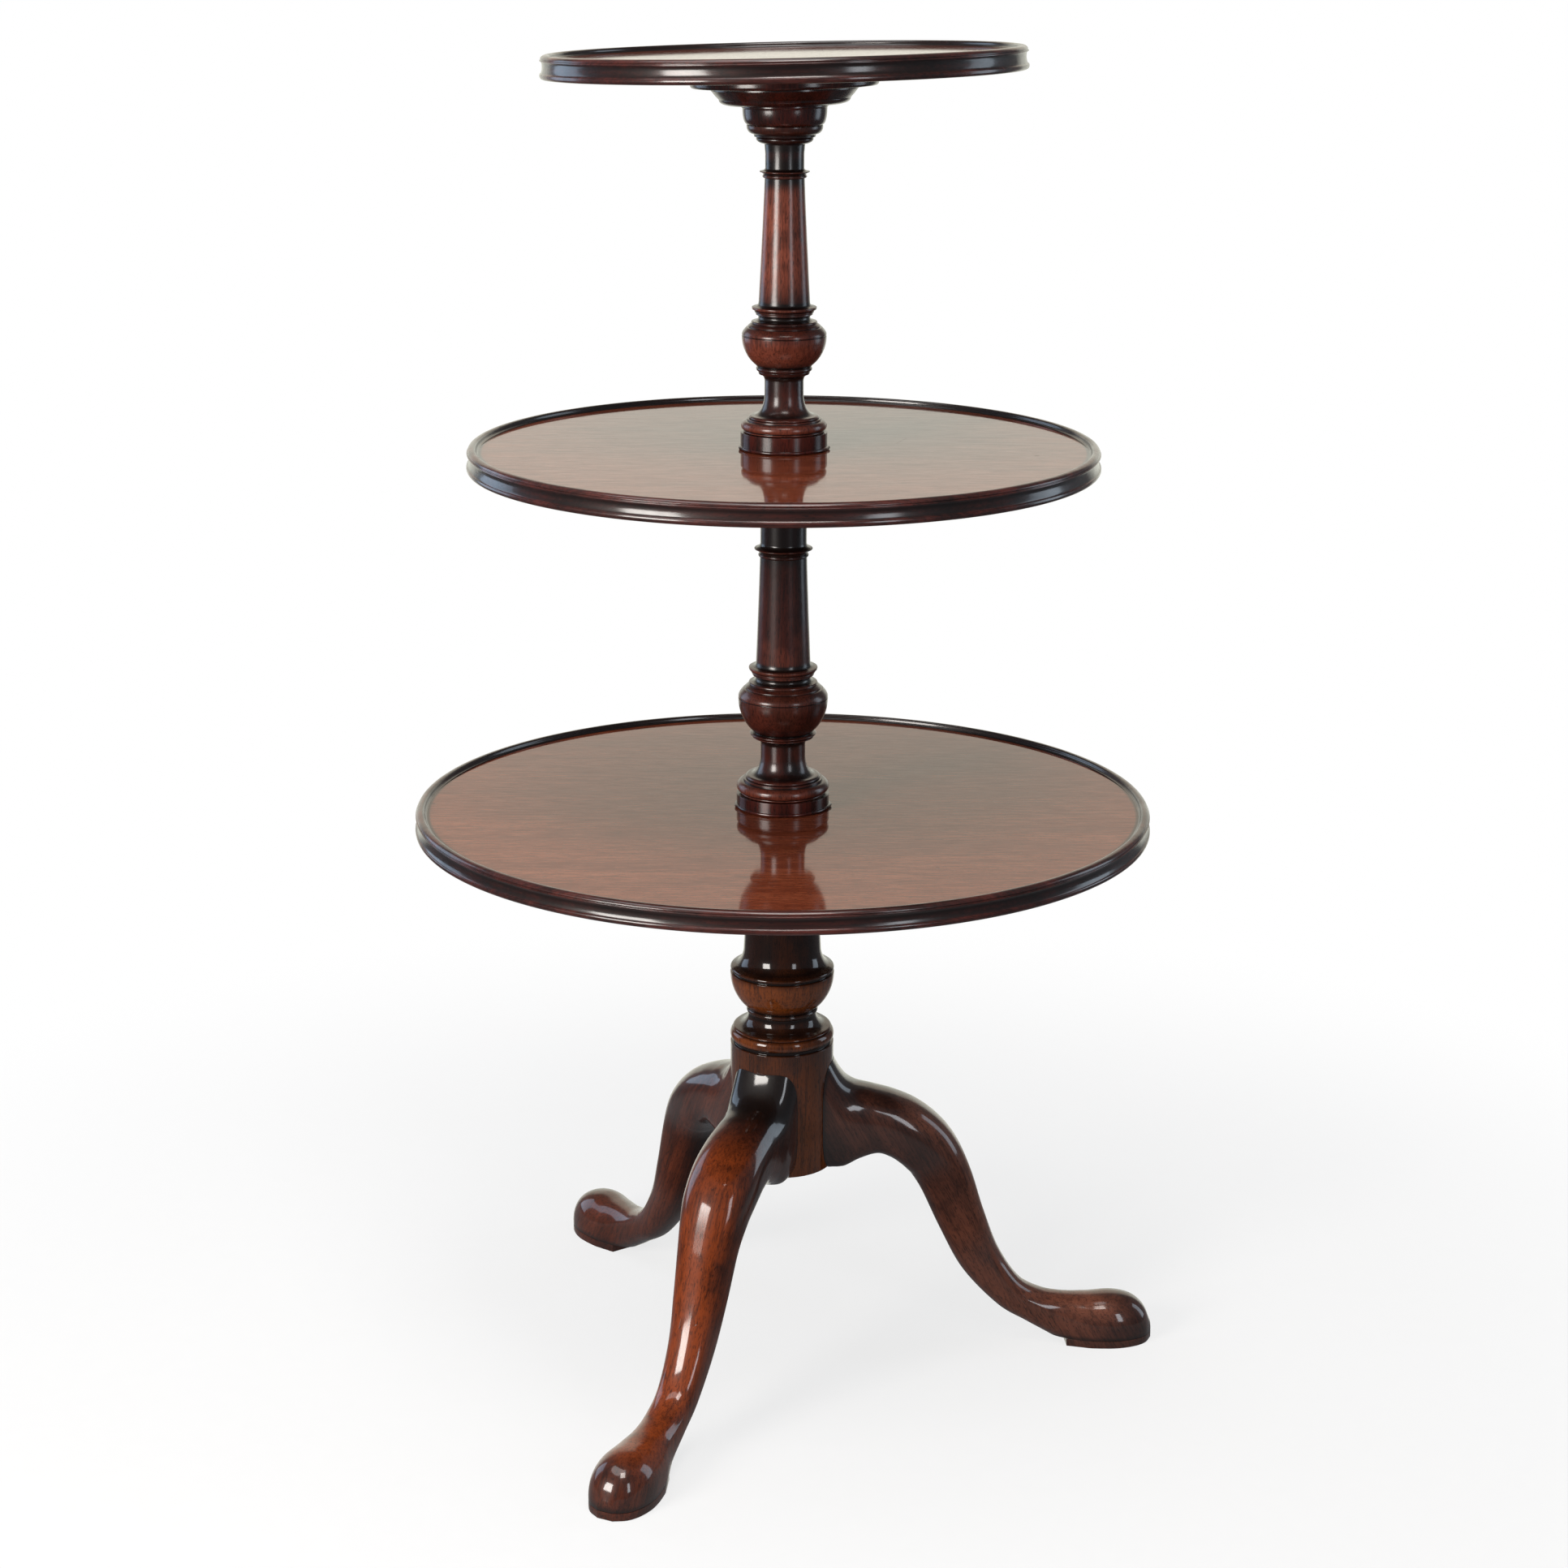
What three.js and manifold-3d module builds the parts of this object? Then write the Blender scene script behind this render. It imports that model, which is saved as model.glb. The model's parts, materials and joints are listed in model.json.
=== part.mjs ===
// A three-tier mahogany dumbwaiter table: a turned pillar on three cabriole legs,
// two turned columns above it, and three dished round trays that each turn on their own spigot.
// Lengths are in millimetres and +Z is up. The origin is on the columns' axis, at floor level.

import * as THREE from 'three';
import { mergeVertices } from 'three/addons/utils/BufferGeometryUtils.js';
import Module from 'manifold-3d';

const wasm = await Module();
wasm.setup();

// Clearances
const seatGap = 0.3; // between pieces that touch and stay put
const runGap = 0.5; // between a turning piece and a fixed one
const cutOverrun = 1; // how far a cutting shape runs past the face it opens

// Trays: heights of the three dished floors, and the edge that they share
const bottomFloorHeight = 498.5;
const middleFloorHeight = 799;
const topFloorHeight = 1108.7;
const bottomTrayRadius = 305;
const middleTrayRadius = 255.5;
const topTrayRadius = 190.8;
const boardThickness = 14.3;
const dishDepth = 4;
const rimWidth = 10;
const rimBeadWidth = 7.4;
const rimBeadInset = 0.9;
const rimFilletInset = 0.5;
const rimFilletHeight = 0.9;
const rimCoveDepth = 2.2;
const rimCoveHeight = 7.6;
const rimRound = 3.2;
// Two trays sit a little out of square on the columns: how far, in degrees, and the direction
// of the side that is higher
const bottomLeanAngle = 0.75;
const bottomLeanTowards = -80;
const topLeanAngle = 1.54;
const topLeanTowards = -17;

// Collars glued round the bores of the two lower trays, with a fine bead at the foot
const bottomCollarRadius = 38.5;
const middleCollarRadius = 35;
const bottomCollarHeight = 11.5;
const middleCollarHeight = 14;
const collarBeadHeight = 2.6;
const collarBeadReach = 1.1;

// Bearing washers of leather between a turning tray and the flange below it
const washerThickness = 1.5;
const washerMargin = 3;

// Pillar
const pillarFootHeight = 180.5;
const pillarRunLength = 301.1; // the length that the pillar's mouldings are drawn for
const pillarRadius = 43.9;
const pillarBandTop = 290.3;
const pillarGrooveHeight = 3.2;
const pillarGrooveDepth = 2;
const pillarTorusHeight = 8.4;
const pillarLedgeRadius = 41.6;
const pillarLedgeHeight = 2.2;
const pillarWaistRadius = 29;
const pillarWaistHeight = 318.5;
const pillarBowlRadius = 44;
const pillarBowlHeight = 31;
const pillarBowlGroove = 2.8;
const pillarBowlBead = 2.6;
const pillarShaftRadius = 32.6;
const pillarShaftFoot = 375.5;
const pillarShaftTopRadius = 27.5;
const pillarNeckHeight = 16;
const pillarAstragalRadius = 33;
const pillarAstragalHeight = 6;
const pillarFlangeRadius = 44;
const pillarFlangeThickness = 8;
const pillarFlangeCove = 9;

// Legs. Each row of shares is a station along the leg: the reach and height of its crest,
// the reach and height of its belly, and its half width. Reaches follow legReach, heights
// follow the pillar's foot, and widths follow legHalfWidth.
const legCount = 3;
const firstLegAngle = 15;
const legReach = 329;
const legHalfWidth = 30;
const legShares = [
  [0.103, 1.632, 0.103, 0.983, 1.00],
  [0.152, 1.454, 0.152, 0.983, 1.00],
  [0.188, 1.388, 0.201, 1.022, 0.98],
  [0.240, 1.357, 0.246, 1.042, 0.97],
  [0.298, 1.324, 0.280, 1.019, 0.98],
  [0.359, 1.271, 0.307, 0.981, 0.99],
  [0.416, 1.188, 0.325, 0.947, 0.97],
  [0.462, 1.078, 0.340, 0.914, 0.93],
  [0.502, 0.911, 0.370, 0.821, 0.83],
  [0.538, 0.701, 0.422, 0.612, 0.74],
  [0.581, 0.496, 0.483, 0.399, 0.64],
  [0.638, 0.335, 0.578, 0.206, 0.58],
  [0.699, 0.266, 0.657, 0.111, 0.58],
  [0.760, 0.241, 0.739, 0.017, 0.63],
  [0.827, 0.233, 0.815, -0.089, 0.82],
  [0.894, 0.235, 0.888, -0.122, 0.90],
  [0.945, 0.213, 0.939, -0.111, 0.80],
  [0.979, 0.161, 0.976, -0.078, 0.58],
  [0.998, 0.083, 0.998, -0.022, 0.23],
];
// Curl of the section's corners: the crest and the belly at the root, and both at the ankle
const rootCrestShare = 0.42;
const rootBellyShare = 0.2;
const ankleShare = 0.44;
const rootBlendShare = 0.45;

// Pads under the feet: straight at the heel and round at the toe
const padThickness = 7;
const padHeelShare = 0.763;
const padSideShare = 0.82;
const padHeelHalfWidth = 17.5;

// Dovetail keys that hold the legs in the pillar
const keyMouthWidth = 20;
const keyInnerWidth = 27;
const keyInnerReach = 25;
const keyTop = 258.5;

// Iron plate under the pillar and its screws
const plateArmReach = 39.5;
const plateWebReach = 28;
const plateThickness = 2.4;
const plateLegScrewReach = 33;
const platePillarScrewReach = 19;

// Countersunk wood screws
const screwHeadRadius = 3.6;
const screwHeadHeight = 2;
const screwShankRadius = 1.8;
const screwSlotWidth = 0.9;
const screwSlotDepth = 0.7;
const plateScrewLength = 20;
const blockScrewLength = 19;

// Top tray: the moulded block under it, the split cup below the block and the iron spindle
const blockPlateRadius = 74;
const blockPlateThickness = 9.8;
const blockStepRadius = 58;
const blockFootRadius = 45;
const blockStepHeight = 2;
const blockEdgeRound = 1.6;
const blockOvoloHeight = 11.5;
const blockScrewCount = 4;
const blockScrewReach = 66;
const cupRimRadius = 34.2;
const cupSplitRadius = 30.1;
const spindleRadius = 7;
const spindleDepth = 44;
const spindleRise = 14;

// Turned columns, one above each of the two lower trays, with the same run of mouldings.
// The run length, from the collar to the top neck, is the one that the heights are drawn for.
const middleColumnSizes = {
  runLength: 254.6,
  spigotRadius: 16,
  spigotDepth: 45,
  shoulderInset: 2.9,
  grooveHeight: 1.6,
  torusRadius: 38.4,
  torusHeight: 8.8,
  stepRadius: 33,
  stepHeight: 2,
  baseBeadRadius: 30.5,
  baseBeadHeight: 3,
  flareRadius: 28.5,
  flareHeight: 16,
  neckRadius: 18.5,
  neckHeight: 10,
  ringCoveHeight: 5.5,
  ringRadius: 27.3,
  ringHeight: 5.6,
  bowlFootRadius: 24.3,
  bowlHeight: 28,
  bowlRadius: 37,
  bowlEdgeHeight: 2,
  shoulderHeight: 10,
  shoulderRadius: 28.4,
  shoulderRingHeight: 2.4,
  coveRadius: 22.8,
  coveHeight: 5.6,
  filletRadius: 25.4,
  filletHeight: 1.5,
  collarRingRadius: 28.3,
  collarRingHeight: 6.4,
  shaftFootRadius: 22.3,
  shaftFlareHeight: 5.2,
  shaftTopRadius: 19.2,
  topFilletRadius: 20.6,
  topFilletHeight: 2.4,
  topRingRadius: 23.8,
  topRingHeight: 9,
  topNeckRadius: 18.9,
  topNeckLength: 43.5,
};
const topColumnSizes = {
  runLength: 219.6,
  spigotRadius: 13,
  spigotDepth: 42,
  shoulderInset: 2.4,
  grooveHeight: 1.6,
  torusRadius: 34.5,
  torusHeight: 7.3,
  stepRadius: 30,
  stepHeight: 1.5,
  baseBeadRadius: 28,
  baseBeadHeight: 2.6,
  flareRadius: 26,
  flareHeight: 17,
  neckRadius: 15.7,
  neckHeight: 11,
  ringCoveHeight: 5,
  ringRadius: 22.3,
  ringHeight: 6.8,
  bowlFootRadius: 21.8,
  bowlHeight: 23.5,
  bowlRadius: 33.9,
  bowlEdgeHeight: 1.8,
  shoulderHeight: 8.5,
  shoulderRadius: 26.4,
  shoulderRingHeight: 2,
  coveRadius: 20.7,
  coveHeight: 5,
  filletRadius: 22.8,
  filletHeight: 1.4,
  collarRingRadius: 25.9,
  collarRingHeight: 5.8,
  shaftFootRadius: 20.4,
  shaftFlareHeight: 4.4,
  shaftTopRadius: 15.8,
  topFilletRadius: 17.6,
  topFilletHeight: 2.2,
  topRingRadius: 19.8,
  topRingHeight: 5.4,
  topNeckRadius: 15.4,
  topNeckLength: 11.2,
};
// Where the middle column ends: a flange that carries the middle tray
const columnFlangeRadius = 34;
const columnFlangeThickness = 7;
const columnFlangeCove = 10;
// Where the top column ends: the lower half of the cup
const cupLowerHeight = 13.5;
const cupUpperHeight = 15.8;
const cupStemRadius = 16.7;
const cupBeadRadius = 22.2;
const cupBeadHeight = 4.2;
const cupFilletRadius = 24.5;
const cupFilletHeight = 2.8;

// Facets round each kind of turned piece
const traySides = 52;
const pillarSides = 24;
const columnSides = 20;
const smallSides = 8;
const curveSteps = 3;
const bowlSteps = 5;
// How much of a quarter turn a bowl leaves out at its foot
const bowlStartShare = 0.4;

const mahogany = { color: 0x5a2414, roughness: 0.28, metalness: 0 };
const legMahogany = { color: 0x6b2f17, roughness: 0.25, metalness: 0 };
const trayMahogany = { color: 0x63301d, roughness: 0.3, metalness: 0 };
const leather = { color: 0x2a1a12, roughness: 0.8, metalness: 0 };
const iron = { color: 0x2b2a29, roughness: 0.6, metalness: 0.9 };

const table = new THREE.Group();

// A named mesh with its own material, added to the table or to a group in it
function addPiece(name, geometry, finish, parent = table) {
  const mesh = new THREE.Mesh(geometry, new THREE.MeshStandardMaterial(finish));
  mesh.name = name;
  parent.add(mesh);
  return mesh;
}

// A group that leans on a point of the axis, raised towards one direction
function leaningGroup(height, angle, towards) {
  const group = new THREE.Group();
  const heading = THREE.MathUtils.degToRad(towards);
  const axis = new THREE.Vector3(Math.sin(heading), -Math.cos(heading), 0);
  group.setRotationFromAxisAngle(axis, THREE.MathUtils.degToRad(angle));
  group.position.z = height;
  table.add(group);
  group.updateMatrixWorld(true);
  return group;
}

// How far a leaning face rises or falls at a distance from the axis
function leanRise(reach, angle) {
  return reach * Math.sin(THREE.MathUtils.degToRad(angle));
}

function toSolid(geometry) {
  const bare = geometry.clone();
  bare.deleteAttribute('normal');
  bare.deleteAttribute('uv');
  const merged = mergeVertices(bare, seatGap / 1000);
  const vertProperties = new Float32Array(merged.attributes.position.array);
  const triVerts = new Uint32Array(merged.index.array);
  return new wasm.Manifold(new wasm.Mesh({ numProp: 3, vertProperties, triVerts }));
}

function toGeometry(solid) {
  const mesh = solid.getMesh();
  const geometry = new THREE.BufferGeometry();
  geometry.setAttribute('position', new THREE.BufferAttribute(new Float32Array(mesh.vertProperties), 3));
  geometry.setIndex(new THREE.BufferAttribute(new Uint32Array(mesh.triVerts), 1));
  geometry.computeVertexNormals();
  return geometry;
}

function cut(geometry, ...tools) {
  return toGeometry(tools.reduce((solid, tool) => solid.subtract(toSolid(tool)), toSolid(geometry)));
}

// A solid of revolution about +Z from an outline of [radius, height] points
function turn(outline, sides) {
  const points = outline.map(([radius, height]) => new THREE.Vector2(radius, height));
  return new THREE.LatheGeometry(points, sides).rotateX(Math.PI / 2);
}

// A turned ring: its outline closes on itself
function turnRing(outline, sides) {
  return turn([...outline, outline[0]], sides);
}

function rod(radius, from, to, sides) {
  return turn([[0, from], [radius, from], [radius, to], [0, to]], sides);
}

// A quarter of an ellipse between two points of an outline, which leaves the first one
// upright or level
function quarter(from, to, startsUpright, steps = curveSteps) {
  const points = [];
  for (let step = 1; step <= steps; step += 1) {
    const angle = (Math.PI / 2) * (step / steps);
    const across = startsUpright ? 1 - Math.cos(angle) : Math.sin(angle);
    const along = startsUpright ? Math.sin(angle) : 1 - Math.cos(angle);
    points.push([from[0] + (to[0] - from[0]) * across, from[1] + (to[1] - from[1]) * along]);
  }
  return points;
}

// The side of a bowl: the upper part of a quarter of an ellipse, upright at its brim
function bowl(foot, brim) {
  const points = [];
  const start = (Math.PI / 2) * bowlStartShare;
  for (let step = 1; step <= bowlSteps; step += 1) {
    const angle = start + (Math.PI / 2 - start) * (step / bowlSteps);
    const across = (Math.sin(angle) - Math.sin(start)) / (1 - Math.sin(start));
    const along = 1 - Math.cos(angle) / Math.cos(start);
    points.push([foot[0] + (brim[0] - foot[0]) * across, foot[1] + (brim[1] - foot[1]) * along]);
  }
  return points;
}

// A half-round bead that starts and ends at the given radius
function bead(radius, reach, base, height) {
  const middle = [reach, base + height / 2];
  return [
    [radius, base],
    ...quarter([radius, base], middle, false, 2),
    ...quarter(middle, [radius, base + height], true, 2),
  ];
}

// A run of mouldings drawn from one height to another, stretched or shortened to end at a
// different height
function fitRun(points, foot, drawnTop, top) {
  const fit = (top - foot) / (drawnTop - foot);
  return points.map(([radius, height]) => [radius, foot + (height - foot) * fit]);
}

// Trays
function trayOutline(radius, floorHeight, boreRadius) {
  const underside = floorHeight - boardThickness;
  const top = floorHeight + dishDepth;
  const coveTop = underside + rimRound * 2 + rimCoveHeight;
  const beadBase = coveTop + rimFilletHeight;
  const beadOuter = radius - rimBeadInset;
  const beadInner = beadOuter - rimBeadWidth;
  const beadMiddle = (beadOuter + beadInner) / 2;
  const beadRise = (top - beadBase) / 2;
  return [
    [boreRadius, underside],
    [radius - rimRound, underside],
    ...quarter([radius - rimRound, underside], [radius, underside + rimRound], false, 2),
    [radius, underside + rimRound * 2],
    ...quarter([radius, underside + rimRound * 2], [radius - rimCoveDepth, coveTop], false, 2),
    [radius - rimFilletInset, coveTop],
    [radius - rimFilletInset, beadBase],
    [beadOuter, beadBase + beadRise],
    [beadMiddle, top],
    [beadInner, beadBase + beadRise],
    [radius - rimWidth, floorHeight],
    [boreRadius, floorHeight],
  ];
}

function collarOutline(radius, floorHeight, height, boreRadius) {
  const base = floorHeight + seatGap;
  return [
    [boreRadius, base],
    [radius, base],
    [radius + collarBeadReach, base + collarBeadHeight / 2],
    [radius, base + collarBeadHeight],
    [radius, floorHeight + height],
    [boreRadius, floorHeight + height],
  ];
}

const lowerTiers = {
  bottom: {
    trayRadius: bottomTrayRadius,
    floorHeight: bottomFloorHeight,
    collarRadius: bottomCollarRadius,
    collarHeight: bottomCollarHeight,
    flangeRadius: pillarFlangeRadius,
    spigotRadius: middleColumnSizes.spigotRadius,
    leanAngle: bottomLeanAngle,
    leanTowards: bottomLeanTowards,
  },
  middle: {
    trayRadius: middleTrayRadius,
    floorHeight: middleFloorHeight,
    collarRadius: middleCollarRadius,
    collarHeight: middleCollarHeight,
    flangeRadius: columnFlangeRadius,
    spigotRadius: topColumnSizes.spigotRadius,
    leanAngle: 0,
    leanTowards: 0,
  },
};

for (const [name, tier] of Object.entries(lowerTiers)) {
  const underside = tier.floorHeight - boardThickness;
  const washerRadius = tier.flangeRadius - washerMargin;
  const washerTop = underside - seatGap - leanRise(washerRadius, tier.leanAngle);
  const washerBore = tier.spigotRadius + runGap;
  const boreRadius = washerBore + leanRise(boardThickness + tier.collarHeight, tier.leanAngle);
  const group = leaningGroup(underside, tier.leanAngle, tier.leanTowards);
  const tray = trayOutline(tier.trayRadius, boardThickness, boreRadius);
  const collar = collarOutline(tier.collarRadius, boardThickness, tier.collarHeight, boreRadius);
  const washer = [
    [washerBore, washerTop - washerThickness],
    [washerRadius, washerTop - washerThickness],
    [washerRadius, washerTop],
    [washerBore, washerTop],
  ];
  addPiece(`${name}_tray`, turnRing(tray, traySides), trayMahogany, group);
  addPiece(`${name}_collar`, turnRing(collar, pillarSides), mahogany, group);
  addPiece(`${name}_washer`, turnRing(washer, pillarSides), leather);
  tier.flangeTop = washerTop - washerThickness - seatGap;
  tier.shoulder = tier.floorHeight + tier.collarHeight + runGap
    + leanRise(tier.collarRadius, tier.leanAngle);
}

// Pillar, from its foot up
const pillarSocketRadius = middleColumnSizes.spigotRadius + seatGap;
const pillarTop = lowerTiers.bottom.flangeTop;
const pillarDrawnTop = pillarFootHeight + pillarRunLength;
const pillarTorusBase = pillarBandTop + pillarGrooveHeight;
const pillarLedgeBase = pillarTorusBase + pillarTorusHeight;
const pillarBowlEdge = pillarWaistHeight + pillarBowlGroove + pillarBowlHeight;
const pillarAstragalBase = pillarDrawnTop - pillarFlangeThickness - pillarFlangeCove
  - pillarNeckHeight - pillarAstragalHeight;
const pillarGrooveRadius = pillarRadius - pillarGrooveDepth;
const pillarBeadBase = pillarBowlEdge + pillarBowlGroove;
const pillarFlangeBase = pillarDrawnTop - pillarFlangeThickness;

const pillarRun = [
  [pillarRadius, pillarFootHeight],
  [pillarRadius, pillarBandTop],
  [pillarGrooveRadius, pillarBandTop],
  [pillarGrooveRadius, pillarTorusBase],
  [pillarRadius, pillarTorusBase],
  ...quarter([pillarRadius, pillarTorusBase + pillarTorusHeight / 2],
    [pillarLedgeRadius, pillarLedgeBase], true, 2),
  [pillarLedgeRadius, pillarLedgeBase + pillarLedgeHeight],
  ...quarter([pillarLedgeRadius, pillarLedgeBase + pillarLedgeHeight],
    [pillarWaistRadius, pillarWaistHeight - pillarLedgeHeight], false),
  [pillarWaistRadius, pillarWaistHeight + pillarBowlGroove],
  ...bowl([pillarWaistRadius, pillarWaistHeight + pillarBowlGroove],
    [pillarBowlRadius, pillarBowlEdge]),
  [pillarBowlRadius - pillarGrooveDepth, pillarBowlEdge],
  [pillarBowlRadius - pillarGrooveDepth, pillarBeadBase],
  [pillarBowlRadius, pillarBeadBase],
  [pillarBowlRadius - pillarGrooveDepth, pillarBeadBase + pillarBowlBead],
  ...quarter([pillarBowlRadius - pillarGrooveDepth, pillarBeadBase + pillarBowlBead],
    [pillarShaftRadius, pillarShaftFoot], false),
  [pillarShaftTopRadius, pillarAstragalBase],
  ...bead(pillarShaftTopRadius, pillarAstragalRadius, pillarAstragalBase, pillarAstragalHeight),
  [pillarShaftTopRadius, pillarFlangeBase - pillarFlangeCove],
  ...quarter([pillarShaftTopRadius, pillarFlangeBase - pillarFlangeCove],
    [pillarFlangeRadius, pillarFlangeBase], true),
  [pillarFlangeRadius, pillarDrawnTop],
];
const pillarOutline = [
  [0, pillarFootHeight],
  ...fitRun(pillarRun, pillarFootHeight, pillarDrawnTop, pillarTop),
  [pillarSocketRadius, pillarTop],
  [pillarSocketRadius, pillarTop - middleColumnSizes.spigotDepth],
  [0, pillarTop - middleColumnSizes.spigotDepth],
];

// Turned columns, from the spigot up to the neck above the top ring
function columnOutline(sizes, tier, neckTop) {
  const seat = tier.shoulder;
  const s = sizes;
  const drawnTop = seat + s.runLength;
  const ringBase = drawnTop - s.topNeckLength - s.topRingHeight;
  const points = [];
  let z = seat;
  const shoulder = tier.collarRadius - s.shoulderInset;
  points.push([shoulder, z]);
  z += s.grooveHeight;
  points.push(...bead(shoulder, s.torusRadius, z, s.torusHeight));
  z += s.torusHeight;
  points.push([s.stepRadius, z], [s.stepRadius, z + s.stepHeight]);
  z += s.stepHeight;
  points.push([s.baseBeadRadius, z + s.baseBeadHeight / 2], [s.flareRadius, z + s.baseBeadHeight]);
  z += s.baseBeadHeight;
  points.push(...quarter([s.flareRadius, z], [s.neckRadius, z + s.flareHeight], false));
  z += s.flareHeight + s.neckHeight;
  points.push([s.neckRadius, z]);
  points.push(...quarter([s.neckRadius, z], [s.bowlFootRadius, z + s.ringCoveHeight], true, 2));
  z += s.ringCoveHeight;
  points.push([s.ringRadius, z + s.ringHeight / 3], [s.ringRadius, z + (s.ringHeight * 2) / 3]);
  z += s.ringHeight;
  points.push([s.bowlFootRadius, z]);
  points.push(...bowl([s.bowlFootRadius, z], [s.bowlRadius, z + s.bowlHeight]));
  z += s.bowlHeight + s.bowlEdgeHeight;
  points.push([s.bowlRadius, z]);
  points.push(...quarter([s.bowlRadius, z], [s.shoulderRadius, z + s.shoulderHeight], true, 3));
  z += s.shoulderHeight + s.shoulderRingHeight;
  points.push([s.shoulderRadius, z]);
  points.push([s.coveRadius, z + s.coveHeight / 3], [s.coveRadius, z + (s.coveHeight * 2) / 3]);
  z += s.coveHeight;
  points.push([s.filletRadius, z], [s.filletRadius, z + s.filletHeight]);
  z += s.filletHeight;
  points.push([s.collarRingRadius, z + s.collarRingHeight / 3]);
  points.push([s.collarRingRadius, z + (s.collarRingHeight * 2) / 3]);
  z += s.collarRingHeight;
  points.push([s.filletRadius, z], [s.shaftFootRadius, z + s.shaftFlareHeight]);
  points.push([s.shaftTopRadius, ringBase - s.topFilletHeight]);
  points.push([s.topFilletRadius, ringBase - s.topFilletHeight / 2], [s.topFilletRadius, ringBase]);
  points.push([s.topRingRadius, ringBase + s.topRingHeight / 2]);
  points.push([s.topNeckRadius, ringBase + s.topRingHeight]);
  return [
    [0, tier.flangeTop - s.spigotDepth + seatGap],
    [s.spigotRadius, tier.flangeTop - s.spigotDepth + seatGap],
    [s.spigotRadius, seat],
    ...fitRun(points, seat, drawnTop, neckTop),
  ];
}

const middleColumnTop = lowerTiers.middle.flangeTop;
const middleFlangeBase = middleColumnTop - columnFlangeThickness;
const middleNeckTop = middleFlangeBase - columnFlangeCove;
const middleSocketRadius = topColumnSizes.spigotRadius + seatGap;
const middleSocketFloor = middleColumnTop - topColumnSizes.spigotDepth;
const middleColumnOutline = [
  ...columnOutline(middleColumnSizes, lowerTiers.bottom, middleNeckTop),
  [middleColumnSizes.topNeckRadius, middleNeckTop],
  ...quarter([middleColumnSizes.topNeckRadius, middleNeckTop],
    [columnFlangeRadius, middleFlangeBase], true),
  [columnFlangeRadius, middleColumnTop],
  [middleSocketRadius, middleColumnTop],
  [middleSocketRadius, middleSocketFloor],
  [0, middleSocketFloor],
];

// Heights at the top, from the top tray's floor down
const blockHeight = blockOvoloHeight + blockStepHeight + blockPlateThickness;
const blockFootHeight = topFloorHeight - boardThickness - seatGap - blockHeight;
const cupSplitHeight = blockFootHeight - cupUpperHeight;
const cupStemHeight = cupSplitHeight - cupLowerHeight;
const topNeckTop = cupStemHeight - cupBeadHeight * 2;
const cupFilletBase = cupStemHeight + cupBeadHeight;
const spindleSeat = cupSplitHeight - spindleDepth;
const spindleBoreRadius = spindleRadius + seatGap;
const topColumnOutline = [
  ...columnOutline(topColumnSizes, lowerTiers.middle, topNeckTop),
  [topColumnSizes.topNeckRadius, topNeckTop],
  [cupStemRadius, cupStemHeight],
  [cupBeadRadius, cupStemHeight + cupBeadHeight / 2],
  [cupBeadRadius, cupFilletBase],
  [cupFilletRadius, cupFilletBase + cupFilletHeight / 2],
  [cupFilletRadius, cupFilletBase + cupFilletHeight],
  [cupSplitRadius, cupSplitHeight],
  [spindleBoreRadius, cupSplitHeight],
  [spindleBoreRadius, spindleSeat],
  [0, spindleSeat],
];

addPiece('middle_column', turn(middleColumnOutline, columnSides), mahogany);
addPiece('top_column', turn(topColumnOutline, columnSides), mahogany);

// Screws point up: the head is flush with the face at the base
function screwOutline(base, length) {
  return [
    [0, base],
    [screwHeadRadius, base],
    [screwHeadRadius, base + screwSlotDepth],
    [screwShankRadius, base + screwHeadHeight],
    [screwShankRadius, base + length - screwHeadHeight],
    [0, base + length],
  ];
}

function screw(base, length) {
  const slot = new THREE.BoxGeometry(screwHeadRadius * 3, screwSlotWidth, screwSlotDepth * 2);
  return cut(turn(screwOutline(base, length), smallSides), slot.translate(0, 0, base));
}

// The hole for a screw: its countersink opens through the face at the base
function screwHole(base, length) {
  const outline = screwOutline(base, length).map(([radius, height]) => [
    radius && radius + seatGap,
    height === base ? base - cutOverrun : height + seatGap,
  ]);
  return turn(outline, smallSides);
}

// Dovetail key in plan, from its inner end out to where it joins the leg
function keyPlan(clearance, mouthReach) {
  const mouth = keyMouthWidth / 2 + clearance;
  const inner = keyInnerWidth / 2 + clearance;
  const plan = new THREE.Shape();
  plan.moveTo(keyInnerReach - clearance, -inner);
  plan.lineTo(pillarRadius, -mouth);
  plan.lineTo(mouthReach, -mouth);
  plan.lineTo(mouthReach, mouth);
  plan.lineTo(pillarRadius, mouth);
  plan.lineTo(keyInnerReach - clearance, inner);
  plan.closePath();
  return plan;
}

function extrudeUp(shape, from, to) {
  const geometry = new THREE.ExtrudeGeometry(shape, { depth: to - from, bevelEnabled: false });
  return geometry.translate(0, 0, from);
}

// One leg, pointing along +X
const crestPoints = [];
const bellyPoints = [];
for (const [crestReach, crestHeight, bellyReach, bellyHeight, halfWidth] of legShares) {
  const half = halfWidth * legHalfWidth;
  crestPoints.push(
    new THREE.Vector3(crestReach * legReach, half, crestHeight * pillarFootHeight));
  bellyPoints.push(
    new THREE.Vector3(bellyReach * legReach, half, bellyHeight * pillarFootHeight));
}
const crestRun = new THREE.CatmullRomCurve3(crestPoints, false, 'catmullrom');
const bellyRun = new THREE.CatmullRomCurve3(bellyPoints, false, 'catmullrom');
const legRings = 24;
const legSides = 12;

// Position round a section, from -1 to 1 upwards and sideways: a smaller share is squarer
function sectionPoint(angle, crestShare, bellyShare) {
  const up = Math.cos(angle);
  const side = Math.sin(angle);
  const power = (up > 0 ? crestShare : bellyShare) * 2;
  return [Math.sign(up) * Math.abs(up) ** power, Math.sign(side) * Math.abs(side) ** power];
}

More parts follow.
